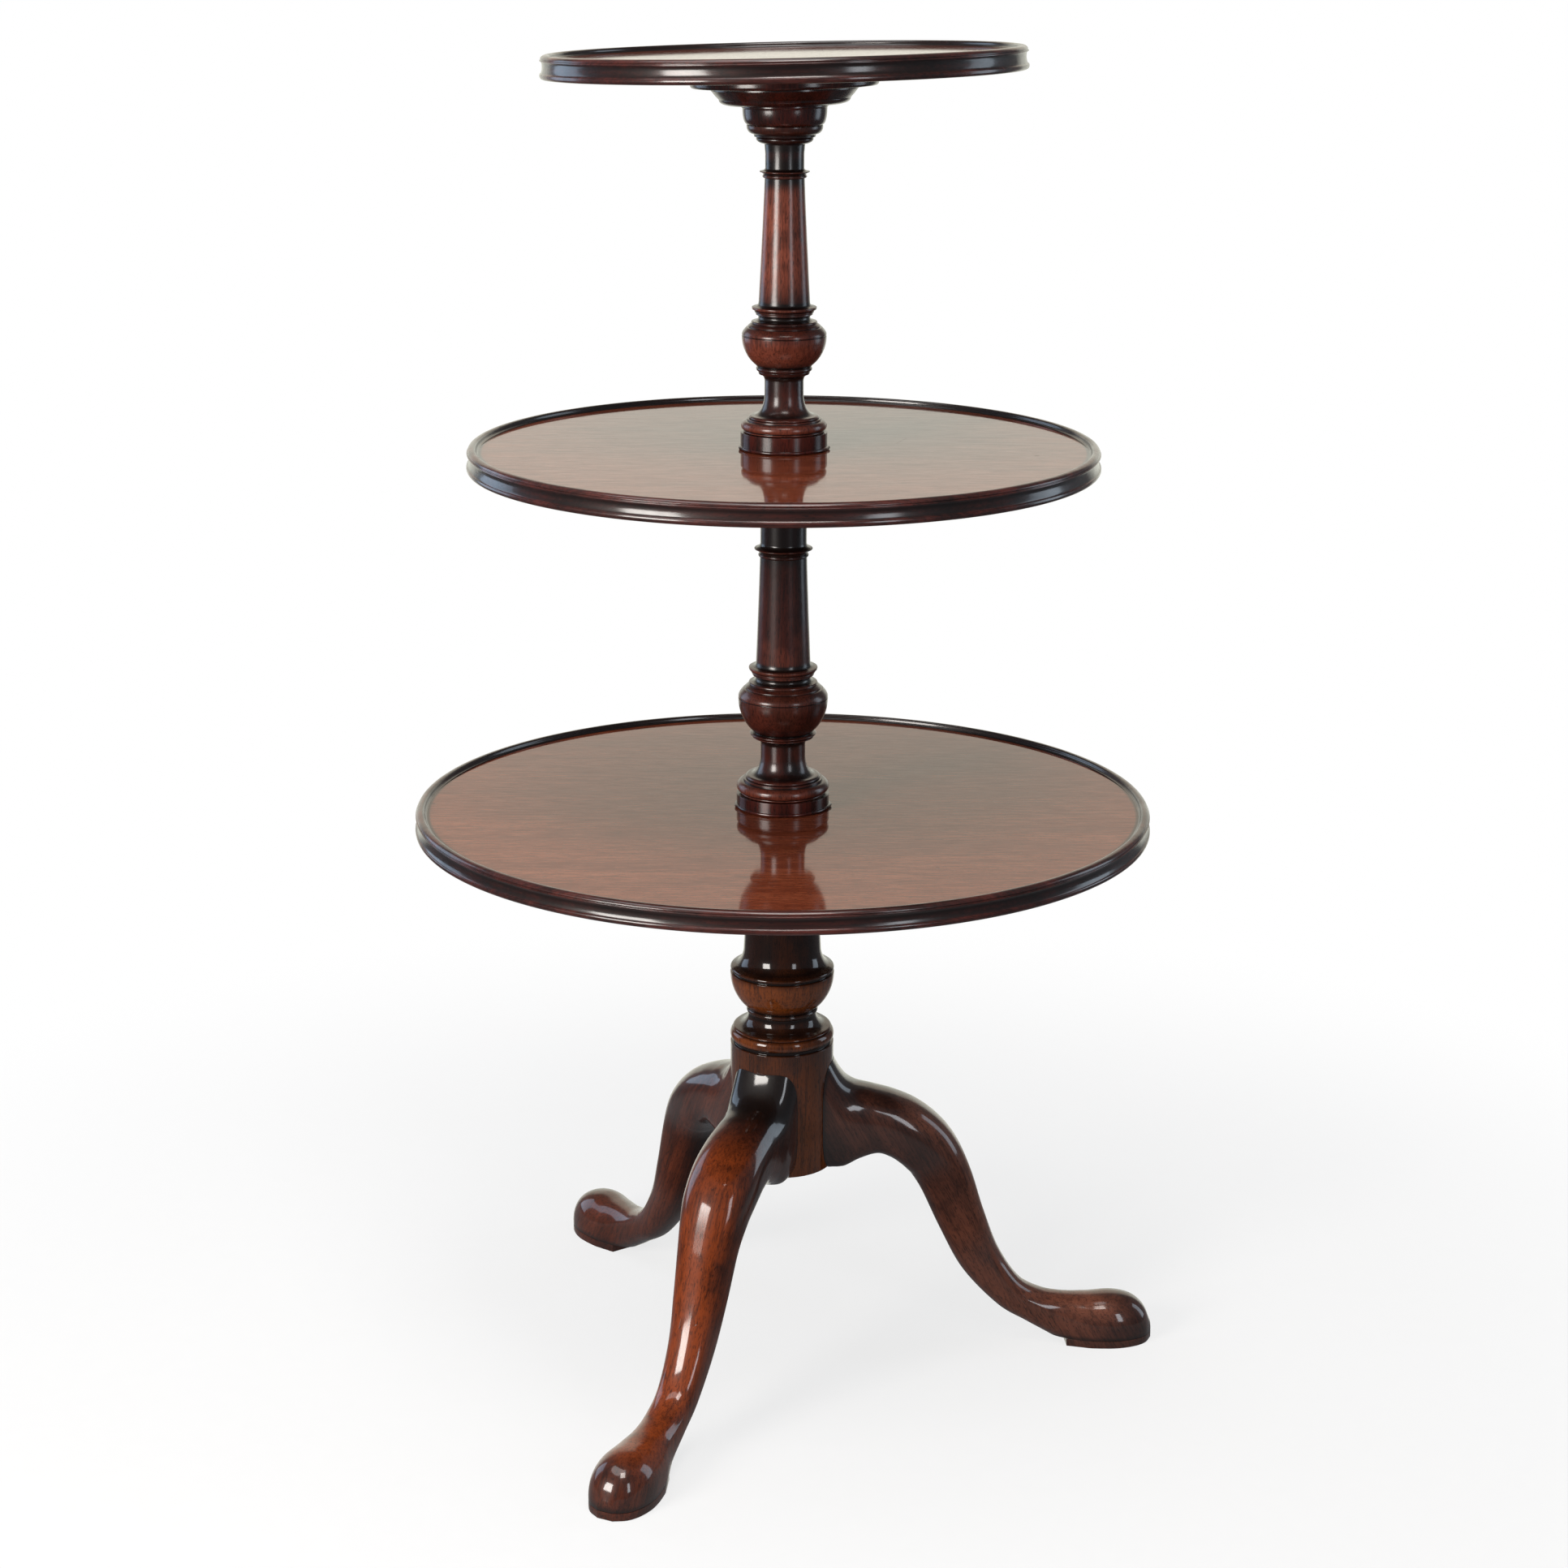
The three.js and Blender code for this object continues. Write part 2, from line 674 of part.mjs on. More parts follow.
function legBlade() {
  const positions = [];
  const faces = [];
  for (let ring = 0; ring <= legRings; ring += 1) {
    const along = ring / legRings;
    const crest = crestRun.getPoint(along);
    const belly = bellyRun.getPoint(along);
    const blend = Math.min(1, along / rootBlendShare);
    const crestShare = rootCrestShare + (ankleShare - rootCrestShare) * blend;
    const bellyShare = rootBellyShare + (ankleShare - rootBellyShare) * blend;
    for (let side = 0; side < legSides; side += 1) {
      const angle = ((side + 0.5) / legSides) * Math.PI * 2;
      const [up, across] = sectionPoint(angle, crestShare, bellyShare);
      const place = belly.clone().lerp(crest, (1 + up) / 2);
      positions.push(place.x, place.y * across, place.z);
    }
  }
  for (let ring = 0; ring < legRings; ring += 1) {
    for (let side = 0; side < legSides; side += 1) {
      const a = ring * legSides + side;
      const b = ring * legSides + ((side + 1) % legSides);
      faces.push(a, b + legSides, b, a, a + legSides, b + legSides);
    }
  }
  const last = legRings * legSides;
  for (let side = 1; side < legSides - 1; side += 1) {
    faces.push(0, side, side + 1);
    faces.push(last, last + side + 1, last + side);
  }
  const geometry = new THREE.BufferGeometry();
  geometry.setAttribute('position', new THREE.Float32BufferAttribute(positions, 3));
  geometry.setIndex(faces);
  return geometry;
}

const plateTop = pillarFootHeight - seatGap;
const plateBase = plateTop - plateThickness;
const footTop = padThickness + seatGap;

function legGeometry() {
  const rootSlab = new THREE.BoxGeometry(pillarRadius * 3, legHalfWidth * 3, pillarFootHeight);
  rootSlab.translate(0, 0, pillarFootHeight / 2);
  const footSlab = new THREE.BoxGeometry(legReach, legReach, pillarFootHeight);
  footSlab.translate(legReach, 0, footTop - pillarFootHeight / 2);
  const housing = rod(pillarRadius + seatGap, 0, crestPoints[0].z * 2, pillarSides * 2);
  const blade = toSolid(cut(legBlade(), rootSlab, footSlab, housing));
  const keyReach = pillarRadius + keyMouthWidth / 4;
  const key = toSolid(extrudeUp(keyPlan(0, keyReach), pillarFootHeight, keyTop));
  const hole = screwHole(plateBase, plateScrewLength).translate(plateLegScrewReach, 0, 0);
  return toGeometry(blade.add(key).subtract(toSolid(hole)));
}

// The pad's plan follows the foot's own outline where the foot meets the pad
function padGeometry() {
  const sides = [[legReach * padHeelShare, padHeelHalfWidth]];
  for (let ring = 0; ring <= legRings; ring += 1) {
    const crest = crestRun.getPoint(ring / legRings);
    const belly = bellyRun.getPoint(ring / legRings);
    const up = (2 * (padThickness - belly.z)) / (crest.z - belly.z) - 1;
    const place = belly.clone().lerp(crest, (1 + up) / 2);
    if (place.x > legReach * padSideShare && Math.abs(up) < 1) {
      const side = Math.sqrt(1 - Math.abs(up) ** (1 / ankleShare));
      sides.push([place.x, place.y * side ** (ankleShare * 2)]);
    }
  }
  const near = sides.map(([reach, half]) => new THREE.Vector2(reach, -half));
  const far = sides.map(([reach, half]) => new THREE.Vector2(reach, half));
  return extrudeUp(new THREE.Shape([...near, ...far.reverse()]), 0, padThickness);
}

const leg = legGeometry();
const pad = padGeometry();
const slots = [];
const plateHoles = [];
const pillarHoles = [];
const plateScrew = screw(plateBase, plateScrewLength);
for (let index = 0; index < legCount; index += 1) {
  const turnAngle = THREE.MathUtils.degToRad(firstLegAngle) + (index * Math.PI * 2) / legCount;
  const webAngle = turnAngle + Math.PI / legCount;
  const group = new THREE.Group();
  group.rotation.z = turnAngle;
  table.add(group);
  addPiece(`leg_${index + 1}`, leg, legMahogany, group);
  addPiece(`foot_pad_${index + 1}`, pad, legMahogany, group);
  slots.push(extrudeUp(keyPlan(seatGap, pillarRadius * 2), pillarFootHeight - cutOverrun,
    keyTop + seatGap).rotateZ(turnAngle));
  const places = [
    { name: `plate_leg_screw_${index + 1}`, angle: turnAngle, reach: plateLegScrewReach },
    { name: `plate_pillar_screw_${index + 1}`, angle: webAngle, reach: platePillarScrewReach },
  ];
  for (const place of places) {
    const x = place.reach * Math.cos(place.angle);
    const y = place.reach * Math.sin(place.angle);
    const hole = screwHole(plateBase, plateScrewLength).translate(x, y, 0);
    plateHoles.push(hole);
    pillarHoles.push(hole);
    addPiece(place.name, plateScrew, iron).position.set(x, y, 0);
  }
}
addPiece('pillar', cut(turn(pillarOutline, pillarSides), ...slots, ...pillarHoles), mahogany);

// Iron plate: a disc drawn out into an arm under each leg
const plateSides = 36;
const plateMean = (plateArmReach + plateWebReach) / 2;
const plateOutline = [];
for (let side = 0; side < plateSides; side += 1) {
  const angle = (side / plateSides) * Math.PI * 2;
  const swing = Math.cos(legCount * (angle - THREE.MathUtils.degToRad(firstLegAngle)));
  const reach = plateMean + (plateArmReach - plateMean) * swing;
  plateOutline.push(new THREE.Vector2(reach * Math.cos(angle), reach * Math.sin(angle)));
}
const plate = new THREE.Shape(plateOutline);
addPiece('base_plate', cut(extrudeUp(plate, plateBase, plateTop), ...plateHoles), iron);

// Top tray, in a group that leans on the foot of its block
const leaning = leaningGroup(blockFootHeight, topLeanAngle, topLeanTowards);

const plateUnderside = blockOvoloHeight + blockStepHeight;
const blockBoreRadius = spindleRadius + runGap + leanRise(spindleRise, topLeanAngle);
const blockBoreDepth = spindleRise + runGap;
const blockOutline = [
  [0, blockBoreDepth],
  [blockBoreRadius, blockBoreDepth],
  [blockBoreRadius, 0],
  [blockFootRadius, 0],
  ...quarter([blockFootRadius, 0], [blockStepRadius, blockOvoloHeight], false),
  [blockStepRadius, plateUnderside],
  [blockPlateRadius - blockEdgeRound, plateUnderside],
  [blockPlateRadius, plateUnderside + blockEdgeRound],
  [blockPlateRadius, blockHeight],
  [0, blockHeight],
];
const topTrayOutline = trayOutline(topTrayRadius, topFloorHeight - blockFootHeight, 0);
const screwHoles = [];
const blockScrew = screw(plateUnderside, blockScrewLength);
for (let index = 0; index < blockScrewCount; index += 1) {
  const angle = ((index + 0.5) / blockScrewCount) * Math.PI * 2;
  const x = blockScrewReach * Math.cos(angle);
  const y = blockScrewReach * Math.sin(angle);
  screwHoles.push(screwHole(plateUnderside, blockScrewLength).translate(x, y, 0));
  addPiece(`block_screw_${index + 1}`, blockScrew, iron, leaning).position.set(x, y, 0);
}
addPiece('top_block', cut(turn(blockOutline, pillarSides), ...screwHoles), mahogany, leaning);
addPiece('top_tray', cut(turn(topTrayOutline, traySides), ...screwHoles), trayMahogany, leaning);

// Upper half of the cup, cut along the leaning foot of the block
const cupTurnRadius = spindleRadius + runGap;
const cupUpperBase = cupSplitHeight + runGap;
const cupRise = blockFootHeight - cupUpperBase;
const cupOutline = [
  [cupTurnRadius, cupUpperBase],
  [cupSplitRadius, cupUpperBase],
  ...quarter([cupSplitRadius, cupUpperBase], [cupRimRadius, cupUpperBase + cupRise], false, 4),
  [cupRimRadius, blockFootHeight + cupRise],
  [cupTurnRadius, blockFootHeight + cupRise],
];
const aboveCup = rod(cupRimRadius * 2, -seatGap, cupRise * 2, smallSides);
aboveCup.applyMatrix4(leaning.matrixWorld);
addPiece('top_cup', cut(turnRing(cupOutline, pillarSides), aboveCup), mahogany);

const spindle = rod(spindleRadius, spindleSeat + seatGap, blockFootHeight + spindleRise, columnSides);
addPiece('top_spindle', spindle, iron);

export default table;
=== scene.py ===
import json
from bisect import bisect_left
from functools import reduce
from math import copysign, cos, hypot, pi, radians, sin, sqrt, tan, tau
from types import SimpleNamespace

import bmesh
import bpy
from mathutils import Matrix, Vector


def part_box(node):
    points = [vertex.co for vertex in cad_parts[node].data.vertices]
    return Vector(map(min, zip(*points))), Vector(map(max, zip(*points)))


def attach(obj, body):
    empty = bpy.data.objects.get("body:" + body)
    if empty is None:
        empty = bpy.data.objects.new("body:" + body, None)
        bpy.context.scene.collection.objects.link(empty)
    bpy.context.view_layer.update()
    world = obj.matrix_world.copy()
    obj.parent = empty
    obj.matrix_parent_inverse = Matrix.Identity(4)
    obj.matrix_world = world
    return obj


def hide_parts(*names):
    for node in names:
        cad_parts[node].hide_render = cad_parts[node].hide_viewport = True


# The looks of a three-tier mahogany dumbwaiter table. Shapes are drawn in millimetres, as in the
# part's source, and become metres when their meshes are made.
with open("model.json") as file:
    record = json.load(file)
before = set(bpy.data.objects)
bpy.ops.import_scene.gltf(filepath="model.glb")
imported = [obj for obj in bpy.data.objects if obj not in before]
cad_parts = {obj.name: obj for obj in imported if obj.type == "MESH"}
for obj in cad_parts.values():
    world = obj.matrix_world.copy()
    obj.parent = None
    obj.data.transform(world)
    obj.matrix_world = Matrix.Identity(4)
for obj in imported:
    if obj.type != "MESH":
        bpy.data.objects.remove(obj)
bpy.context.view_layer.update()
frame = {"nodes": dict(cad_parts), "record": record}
MM = 0.001
# The clearances of pieces that rest on one another and of pieces that turn past one another
SEAT_GAP = 0.3
RUN_GAP = 0.5

body_of = {node: body for body, members in frame["record"]["behaviour"]["bodies"].items()
           for node in members}


# Curves for outlines of [radius, height] points

BOWL_SKIP = 0.4
SHARP_BEND = radians(22)
CORNER_SHARE = 0.4
CORNER_STEPS = 3
NEAR_REACH = 4.5
FAR_REACH = 15
HOLLOW_SAMPLES = 8
HOLLOW_GAIN = 3.2
ON_AXIS = 1e-6
SAME_POINT = 1e-6


def smoothstep(value, low, high):
    """From 0 at low to 1 at high, and falling where low is above high."""
    share = min(1, max(0, (value - low) / (high - low)))
    return share * share * (3 - 2 * share)


def between(start, end, across, along):
    """The point at shares of the way from start to end, across and along."""
    return (start[0] + (end[0] - start[0]) * across, start[1] + (end[1] - start[1]) * along)


def quarter(start, end, starts_upright, steps=12):
    """A quarter of an ellipse that leaves its first point upright or level."""
    points = []
    for step in range(1, steps + 1):
        angle = pi / 2 * step / steps
        shares = (1 - cos(angle), sin(angle))
        points.append(between(start, end, *(shares if starts_upright else shares[::-1])))
    return points


def bulge(start, end, reach, steps=12):
    """Half of an ellipse from start to end that swells to a radius between them."""
    points = []
    swell = reach - (start[0] + end[0]) / 2
    for step in range(1, steps + 1):
        angle = pi * step / steps
        share = (1 - cos(angle)) / 2
        radius, height = between(start, end, share, share)
        points.append((radius + swell * sin(angle), height))
    return points


def ease(start, end, power, steps):
    """A run from start to end that bends more and more."""
    return [between(start, end, (step / steps) ** power, step / steps) for step in range(1, steps + 1)]


def bowl(foot, brim, steps=18):
    """The side of a bowl: the upper part of a quarter of an ellipse, upright at its brim."""
    points = []
    start = pi / 2 * BOWL_SKIP
    for step in range(1, steps + 1):
        angle = start + (pi / 2 - start) * step / steps
        across = (sin(angle) - sin(start)) / (1 - sin(start))
        points.append(between(foot, brim, across, 1 - cos(angle) / cos(start)))
    return points


def soften(points, radius, closed=False):
    """The outline with small arcs for its sharp corners."""
    softened = []
    count = len(points)
    for index, point in enumerate(points):
        here = Vector(point)
        if not closed and index in (0, count - 1):
            softened.append(tuple(here))
            continue
        back = Vector(points[index - 1]) - here
        ahead = Vector(points[(index + 1) % count]) - here
        if min(back.length, ahead.length) < SAME_POINT:
            continue
        bend = pi - back.angle(ahead)
        if bend < SHARP_BEND:
            softened.append(tuple(here))
            continue
        reach = min(radius * tan(bend / 2), back.length * CORNER_SHARE, ahead.length * CORNER_SHARE)
        start = here + back.normalized() * reach
        end = here + ahead.normalized() * reach
        for step in range(CORNER_STEPS + 1):
            share = step / CORNER_STEPS
            first = start.lerp(here, share)
            softened.append(tuple(first.lerp(here.lerp(end, share), share)))
    return softened


def hollows(points, reach):
    """How deep each point of an outline lies, from -1 on a ridge to 1 in a groove."""
    places = [Vector(point) for point in points]
    lengths = [0.0]
    for first, second in zip(places, places[1:]):
        lengths.append(lengths[-1] + (second - first).length)

    def at(length):
        length = min(max(length, 0), lengths[-1])
        index = bisect_left(lengths, length, 1)
        step = lengths[index] - lengths[index - 1]
        share = (length - lengths[index - 1]) / step if step else 0
        return places[index - 1].lerp(places[index], share)

    depths = []
    for index, place in enumerate(places):
        middle = Vector((0, 0))
        for sample in range(-HOLLOW_SAMPLES, HOLLOW_SAMPLES + 1):
            middle += at(lengths[index] + reach * sample / HOLLOW_SAMPLES)
        middle /= HOLLOW_SAMPLES * 2 + 1
        run = places[min(index + 1, len(places) - 1)] - places[max(index - 1, 0)]
        outward = Vector((run.y, -run.x)).normalized() if run.length else Vector((1, 0))
        depths.append(max(-1, min(1, (middle - place).dot(outward) / reach * HOLLOW_GAIN)))
    return depths


# Meshes

SAME_PLACE = 0.00001
SHARP_EDGE = radians(42)


def new_object(name, mesh):
    piece = bpy.data.objects.new(name, mesh)
    bpy.context.scene.collection.objects.link(piece)
    return piece


def banded(height, bands):
    """How far a height lies in bands, each with its ends, a fade and a share."""
    most = 0
    for low, high, fade, share in bands:
        rise = smoothstep(height, low, low + fade)
        most = max(most, share * rise * smoothstep(height, high, high - fade))
    return most


def skin_directions(points, closed):
    """The direction in which the skin faces at each point of an outline."""
    ring = len(points)
    edges = [Vector(points[(i + 1) % ring]) - Vector(points[i]) for i in range(ring)]
    if not closed:
        edges[-1] = Vector((0, 0))
    runs = [edges[index - 1] + edges[index] for index in range(ring)]
    return [Vector((run.y, -run.x)).normalized() for run in runs]


def ring_faces(points, starts, sides, closed):
    """The faces between the rings, where one on the axis is a single vertex."""
    faces = []
    ring = len(points)
    for index in range(ring if closed else ring - 1):
        other = (index + 1) % ring
        low, high = starts[index], starts[other]
        low_pole, high_pole = points[index][0] < ON_AXIS, points[other][0] < ON_AXIS
        for side in range(sides):
            beside = (side + 1) % sides
            below = [low] if low_pole else [low + side, low + beside]
            above = [high] if high_pole else [high + beside, high + side]
            faces.append((*below, *above))
    return faces


def lathe(name, outline, sides, closed=False, corner=0.45, ripple=None, rubs=(), stain_and_shade_bands=(),
          shade=0.22, ridge_wear=0.45):
    """A turned piece, with the depth of its grooves, its bands of stain and painted shade, and its wear
    kept for the materials.
    """
    points = soften(outline, corner, closed)
    wide = hollows(points, FAR_REACH)
    # Grooves hold old polish; the shade share darkens wide coves, partly old polish and partly painted
    # shade.
    depths = [max(near, far * shade) for near, far in zip(hollows(points, NEAR_REACH), wide)]
    directions = skin_directions(points, closed)
    vertices, normals, values, swells, starts = [], [], [], [], []
    for index, (radius, height) in enumerate(points):
        slope = directions[index]
        turns = 1 if radius < ON_AXIS else sides
        starts.append(len(vertices))
        # Bands of dark stain and painted shade raise the hollow value.
        values += [max(depths[index], banded(height, stain_and_shade_bands))] * turns
        swells += [max(banded(height, rubs), -wide[index] * ridge_wear)] * turns
        for side in range(turns):
            angle = tau * side / sides
            out = radius + (ripple(angle, radius, height) if ripple else 0)
            vertices.append((out * cos(angle) * MM, out * sin(angle) * MM, height * MM))
            if turns == 1:
                normals.append((0, 0, 1 if slope.y > 0 else -1))
            else:
                normals.append((slope.x * cos(angle), slope.x * sin(angle), slope.y))
    mesh = bpy.data.meshes.new(name)
    mesh.from_pydata(vertices, [], ring_faces(points, starts, sides, closed))
    mesh.validate()
    mesh.shade_smooth()
    mesh.normals_split_custom_set_from_vertices([Vector(n).normalized() for n in normals])
    for attribute, numbers in (("hollow", values), ("wear_and_light", swells)):
        mesh.attributes.new(attribute, "FLOAT", "POINT").data.foreach_set("value", numbers)
    return new_object(name, mesh)


def finished_mesh(bm, name):
    """The mesh of a hand-built piece, smooth but for its sharp edges."""
    bmesh.ops.remove_doubles(bm, verts=bm.verts, dist=SAME_PLACE)
    bmesh.ops.recalc_face_normals(bm, faces=bm.faces)
    mesh = bpy.data.meshes.new(name)
    bm.to_mesh(mesh)
    bm.free()
    mesh.shade_smooth()
    mesh.set_sharp_from_angle(angle=SHARP_EDGE)
    return mesh


def leaning(height, angle, towards):
    """The place of a tier that leans, raised towards one direction."""
    heading = radians(towards)
    axis = Vector((sin(heading), -cos(heading), 0))
    return Matrix.Translation((0, 0, height * MM)) @ Matrix.Rotation(radians(angle), 4, axis)


# Tiers: the sizes and places that the part's source gives them

BOARD = 14.3
RIM_WIDTH = 10
RIM_RISE = 4
TOP_LEAN_ANGLE = 1.54
TOP_LEAN_TOWARDS = -17
BLOCK_FOOT = 1070.8
BLOCK_HEIGHT = 23.3
bottom_lean = leaning(height=484.2, angle=0.75, towards=-80)
middle_level = leaning(height=784.7, angle=0, towards=0)
top_lean = leaning(BLOCK_FOOT, TOP_LEAN_ANGLE, TOP_LEAN_TOWARDS)


# Material nodes

def opaque(colour):
    """A colour with its alpha. One that comes out of a node stays as it is."""
    return colour if isinstance(colour, bpy.types.NodeSocket) else (*colour, 1)


def darker(colour, share):
    return [part * share for part in colour]


class Shader:
    """The nodes of a material or of the world."""

    def __init__(self, owner):
        self.owner = owner
        owner.use_nodes = True
        self.tree = owner.node_tree
        self.tree.nodes.clear()

    def node(self, kind, sockets=None, **settings):
        node = self.tree.nodes.new("ShaderNode" + kind)
        for key, value in settings.items():
            setattr(node, key, value)
        for key, value in (sockets or {}).items():
            if isinstance(value, bpy.types.NodeSocket):
                self.tree.links.new(value, node.inputs[key])
            else:
                node.inputs[key].default_value = value
        return node

    def math(self, operation, first, second=0.0, third=0.0):
        return self.node("Math", {0: first, 1: second, 2: third}, operation=operation).outputs[0]

    def times(self, first, second):
        return self.math("MULTIPLY", first, second)

    def vector(self, operation, first, second):
        return self.node("VectorMath", {0: first, 1: second}, operation=operation).outputs

    def smooth(self, value, low, high, start=0.0, end=1.0):
        node = self.node(
            "MapRange", {"Value": value, "From Min": low, "From Max": high, "To Min": start,
            "To Max": end}, interpolation_type="SMOOTHSTEP")
        return node.outputs[0]

    def mix(self, share, first, second):
        node = self.node("Mix", {0: share, 6: opaque(first), 7: opaque(second)}, data_type="RGBA")
        return node.outputs[2]

    def noise(self, vector, scale=1.0, detail=2.0, roughness=0.5, distortion=0.0):
        node = self.node(
            "TexNoise", {"Vector": vector, "Scale": scale, "Detail": detail, "Roughness": roughness,
            "Distortion": distortion})
        return node.outputs["Fac"]

    def ramp(self, value, stops):
        node = self.node("ValToRGB", {"Fac": value})
        elements = node.color_ramp.elements
        while len(elements) < len(stops):
            elements.new(0.5)
        for element, (place, colour) in zip(elements, stops):
            element.position = place
            element.color = opaque(colour)
        return node.outputs["Color"]

    def place(self, scale, rotation=(0, 0, 0), offset=(0, 0, 0)):
        """Coordinates on the object, turned and then stretched."""
        coordinates = self.node("TexCoord").outputs["Object"]
        turned = self.node(
            "Mapping", {"Vector": coordinates, "Rotation": rotation, "Location": offset}).outputs[0]
        return self.node("Mapping", {"Vector": turned, "Scale": scale}).outputs[0]

    def value(self, name):
        return self.node("Attribute", attribute_name=name).outputs["Fac"]

    def bump(self, height, distance, strength):
        return self.node("Bump", {"Height": height, "Distance": distance, "Strength": strength}).outputs[0]

    def finish(self, sockets):
        shader = self.node("BsdfPrincipled", sockets)
        self.node("OutputMaterial", {"Surface": shader.outputs[0]})
        return self.owner


def tone(red, green, blue):
    """A linear colour from one as it looks, in 8-bit steps."""
    return tuple((step / 255 / 12.92) if step / 255 <= 0.04045
                 else ((step / 255 + 0.055) / 1.055) ** 2.4 for step in (red, green, blue))


UPRIGHT_GRAIN = (0, radians(90), 0)
DIRT_AND_SHADE = tone(16, 8, 6)
SCRATCH_WOBBLE = 1.6
SCRATCH_CORE = 0.25


def mahogany(name, dark, middle, light, glow, rotation, offset=(0, 0, 0), polish=0.07,
             sheen=0.3, glow_share=0.5, cloud=0.35, figure_share=0.62, streak_share=0.5,
             wear_and_light_share=0.8, print_depth=0.01, wave_depth=1.0, coat_loss=0.25, coat_grain=0.0,
             rub_loss=0.55, grain=(16, 420), marks=()):
    """Polished mahogany: figure, streaks and pores follow the grain, old polish and painted shade
    darken the grooves and recesses, and rubbed places and painted light show the warm wood below."""
    wood = Shader(bpy.data.materials.new(name))

    def along_grain(along, across):
        return wood.place((along, across, across), rotation, offset)

    figure = wood.noise(along_grain(5, 38), detail=3, roughness=0.55, distortion=0.5)
    streak = wood.noise(along_grain(*grain), detail=4, roughness=0.65, distortion=0.2)
    pores = wood.noise(along_grain(170, 1300), detail=1)
    mottle = wood.noise(along_grain(26, 26), detail=4, roughness=0.6)
    patches = wood.noise(along_grain(9, 13))
    wave = wood.noise(along_grain(30, 45))
    cloth = wood.noise(along_grain(120, 900), roughness=0.6)

    figure = wood.math("MULTIPLY_ADD", wood.math("SUBTRACT", figure, 0.5), figure_share, 0.54)
    blend = wood.math("MULTIPLY_ADD", wood.math("SUBTRACT", streak, 0.5), streak_share, figure)
    colour = wood.ramp(blend, [(0.4, dark), (0.53, middle), (0.68, light)])
    # Wear, and painted light on the legs' middle and lower parts, mix in the warm wood.
    wear_and_light = wood.times(wood.value("wear_and_light"), wear_and_light_share)
    wear_and_light = wood.times(wear_and_light, wood.smooth(mottle, 0.2, 0.55))
    bare_and_lit = wood.times(wood.smooth(patches, 0.44, 0.6), glow_share)
    bare_and_lit = wood.times(bare_and_lit, wood.smooth(mottle, 0.34, 0.57))
    bare_and_lit = wood.math("MAXIMUM", bare_and_lit, wear_and_light)
    warm_wood = wood.mix(wood.smooth(streak, 0.34, 0.54), darker(glow, 0.5), glow)
    colour = wood.mix(bare_and_lit, colour, warm_wood)
    colour = wood.mix(wood.smooth(mottle, 0.5, 0.8, 0, cloud), colour, dark)
    open_pore = wood.smooth(pores, 0.36, 0.42, 0.55, 0)
    colour = wood.mix(open_pore, colour, darker(dark, 0.35))
    # Darker where the hollow value is high: old polish in the grooves, and painted shade in the coves,
    # under the trays, under the legs and inside the rims.
    depth = wood.value("hollow")
    colour = wood.mix(wood.smooth(depth, 0.03, 0.4, 0, 0.96), colour, DIRT_AND_SHADE)
    colour = wood.mix(wood.smooth(depth, -0.25, -0.75, 0, 0.25), colour, glow)

    grain_height = wood.math("SUBTRACT", wood.times(streak, 0.25), open_pore)
    film_height = wood.math("MULTIPLY_ADD", cloth, 0.03, wood.times(wave, wave_depth))
    film_height = wood.math("MULTIPLY_ADD", open_pore, -print_depth, film_height)
    if marks:
        lines = [scratch(wood, *mark) for mark in marks]
        scar = reduce(lambda one, other: wood.math("MAXIMUM", one, other), lines)
        colour = wood.mix(wood.times(scar, 0.85), colour, DIRT_AND_SHADE)
        grain_height = wood.math("SUBTRACT", grain_height, wood.times(scar, 4))
        film_height = wood.math("SUBTRACT", film_height, wood.times(scar, 0.5))
    lost = wood.math("MAXIMUM", wood.value("dull"), wood.times(wear_and_light, rub_loss))
    coat = wood.times(wood.smooth(mottle, 0.35, 0.75, 1, 1 - coat_loss), wood.math("SUBTRACT", 1.0, lost))
    coat = wood.times(coat, wood.smooth(streak, 0.35, 0.65, 1 - coat_grain, 1))
    return wood.finish({
        "Base Color": colour, "Roughness": wood.smooth(mottle, 0.2, 0.8, 0.36, 0.52),
        "Normal": wood.bump(grain_height, 0.00008, 0.5), "Specular IOR Level": sheen,
        "Coat Weight": coat, "Coat Roughness": polish, "Coat IOR": 1.52,
        "Coat Normal": wood.bump(film_height, 0.0006, 0.3),
    })


def scratch(wood, start, end, width):
    """How near a place is to a line between two points of the object, in millimetres."""
    first, second = Vector(start) * MM, Vector(end) * MM
    run = second - first
    coordinates = wood.node("TexCoord").outputs["Object"]
    wobble = wood.noise(coordinates, scale=260, roughness=0.6)
    from_start = wood.vector("SUBTRACT", coordinates, first)[0]
    along = wood.vector("DOT_PRODUCT", from_start, run / run.length_squared)["Value"]
    share = wood.math("MINIMUM", wood.math("MAXIMUM", along, 0.0), 1.0)
    nearest = wood.node("VectorMath", {0: run, "Scale": share}, operation="SCALE").outputs[0]
    gap = wood.vector("DISTANCE", from_start, nearest)["Value"]
    gap = wood.math("MULTIPLY_ADD", wood.math("SUBTRACT", wobble, 0.5), width * MM * SCRATCH_WOBBLE, gap)
    return wood.smooth(gap, width * MM, width * MM * SCRATCH_CORE)


# Finishes, with colours as they look: the light is set so that they render so

TRAY_GRAIN = (0, 0, -radians(9.9))
turned_finish = mahogany(
    "mahogany_turned", tone(16, 7, 6), tone(38, 14, 11), tone(66, 26, 19), tone(150, 78, 58),
    UPRIGHT_GRAIN, polish=0.22, sheen=0.1, glow_share=0.22, cloud=0.25, wear_and_light_share=1.0,
    figure_share=0.8, streak_share=0.3, rub_loss=0.3, grain=(45, 600))
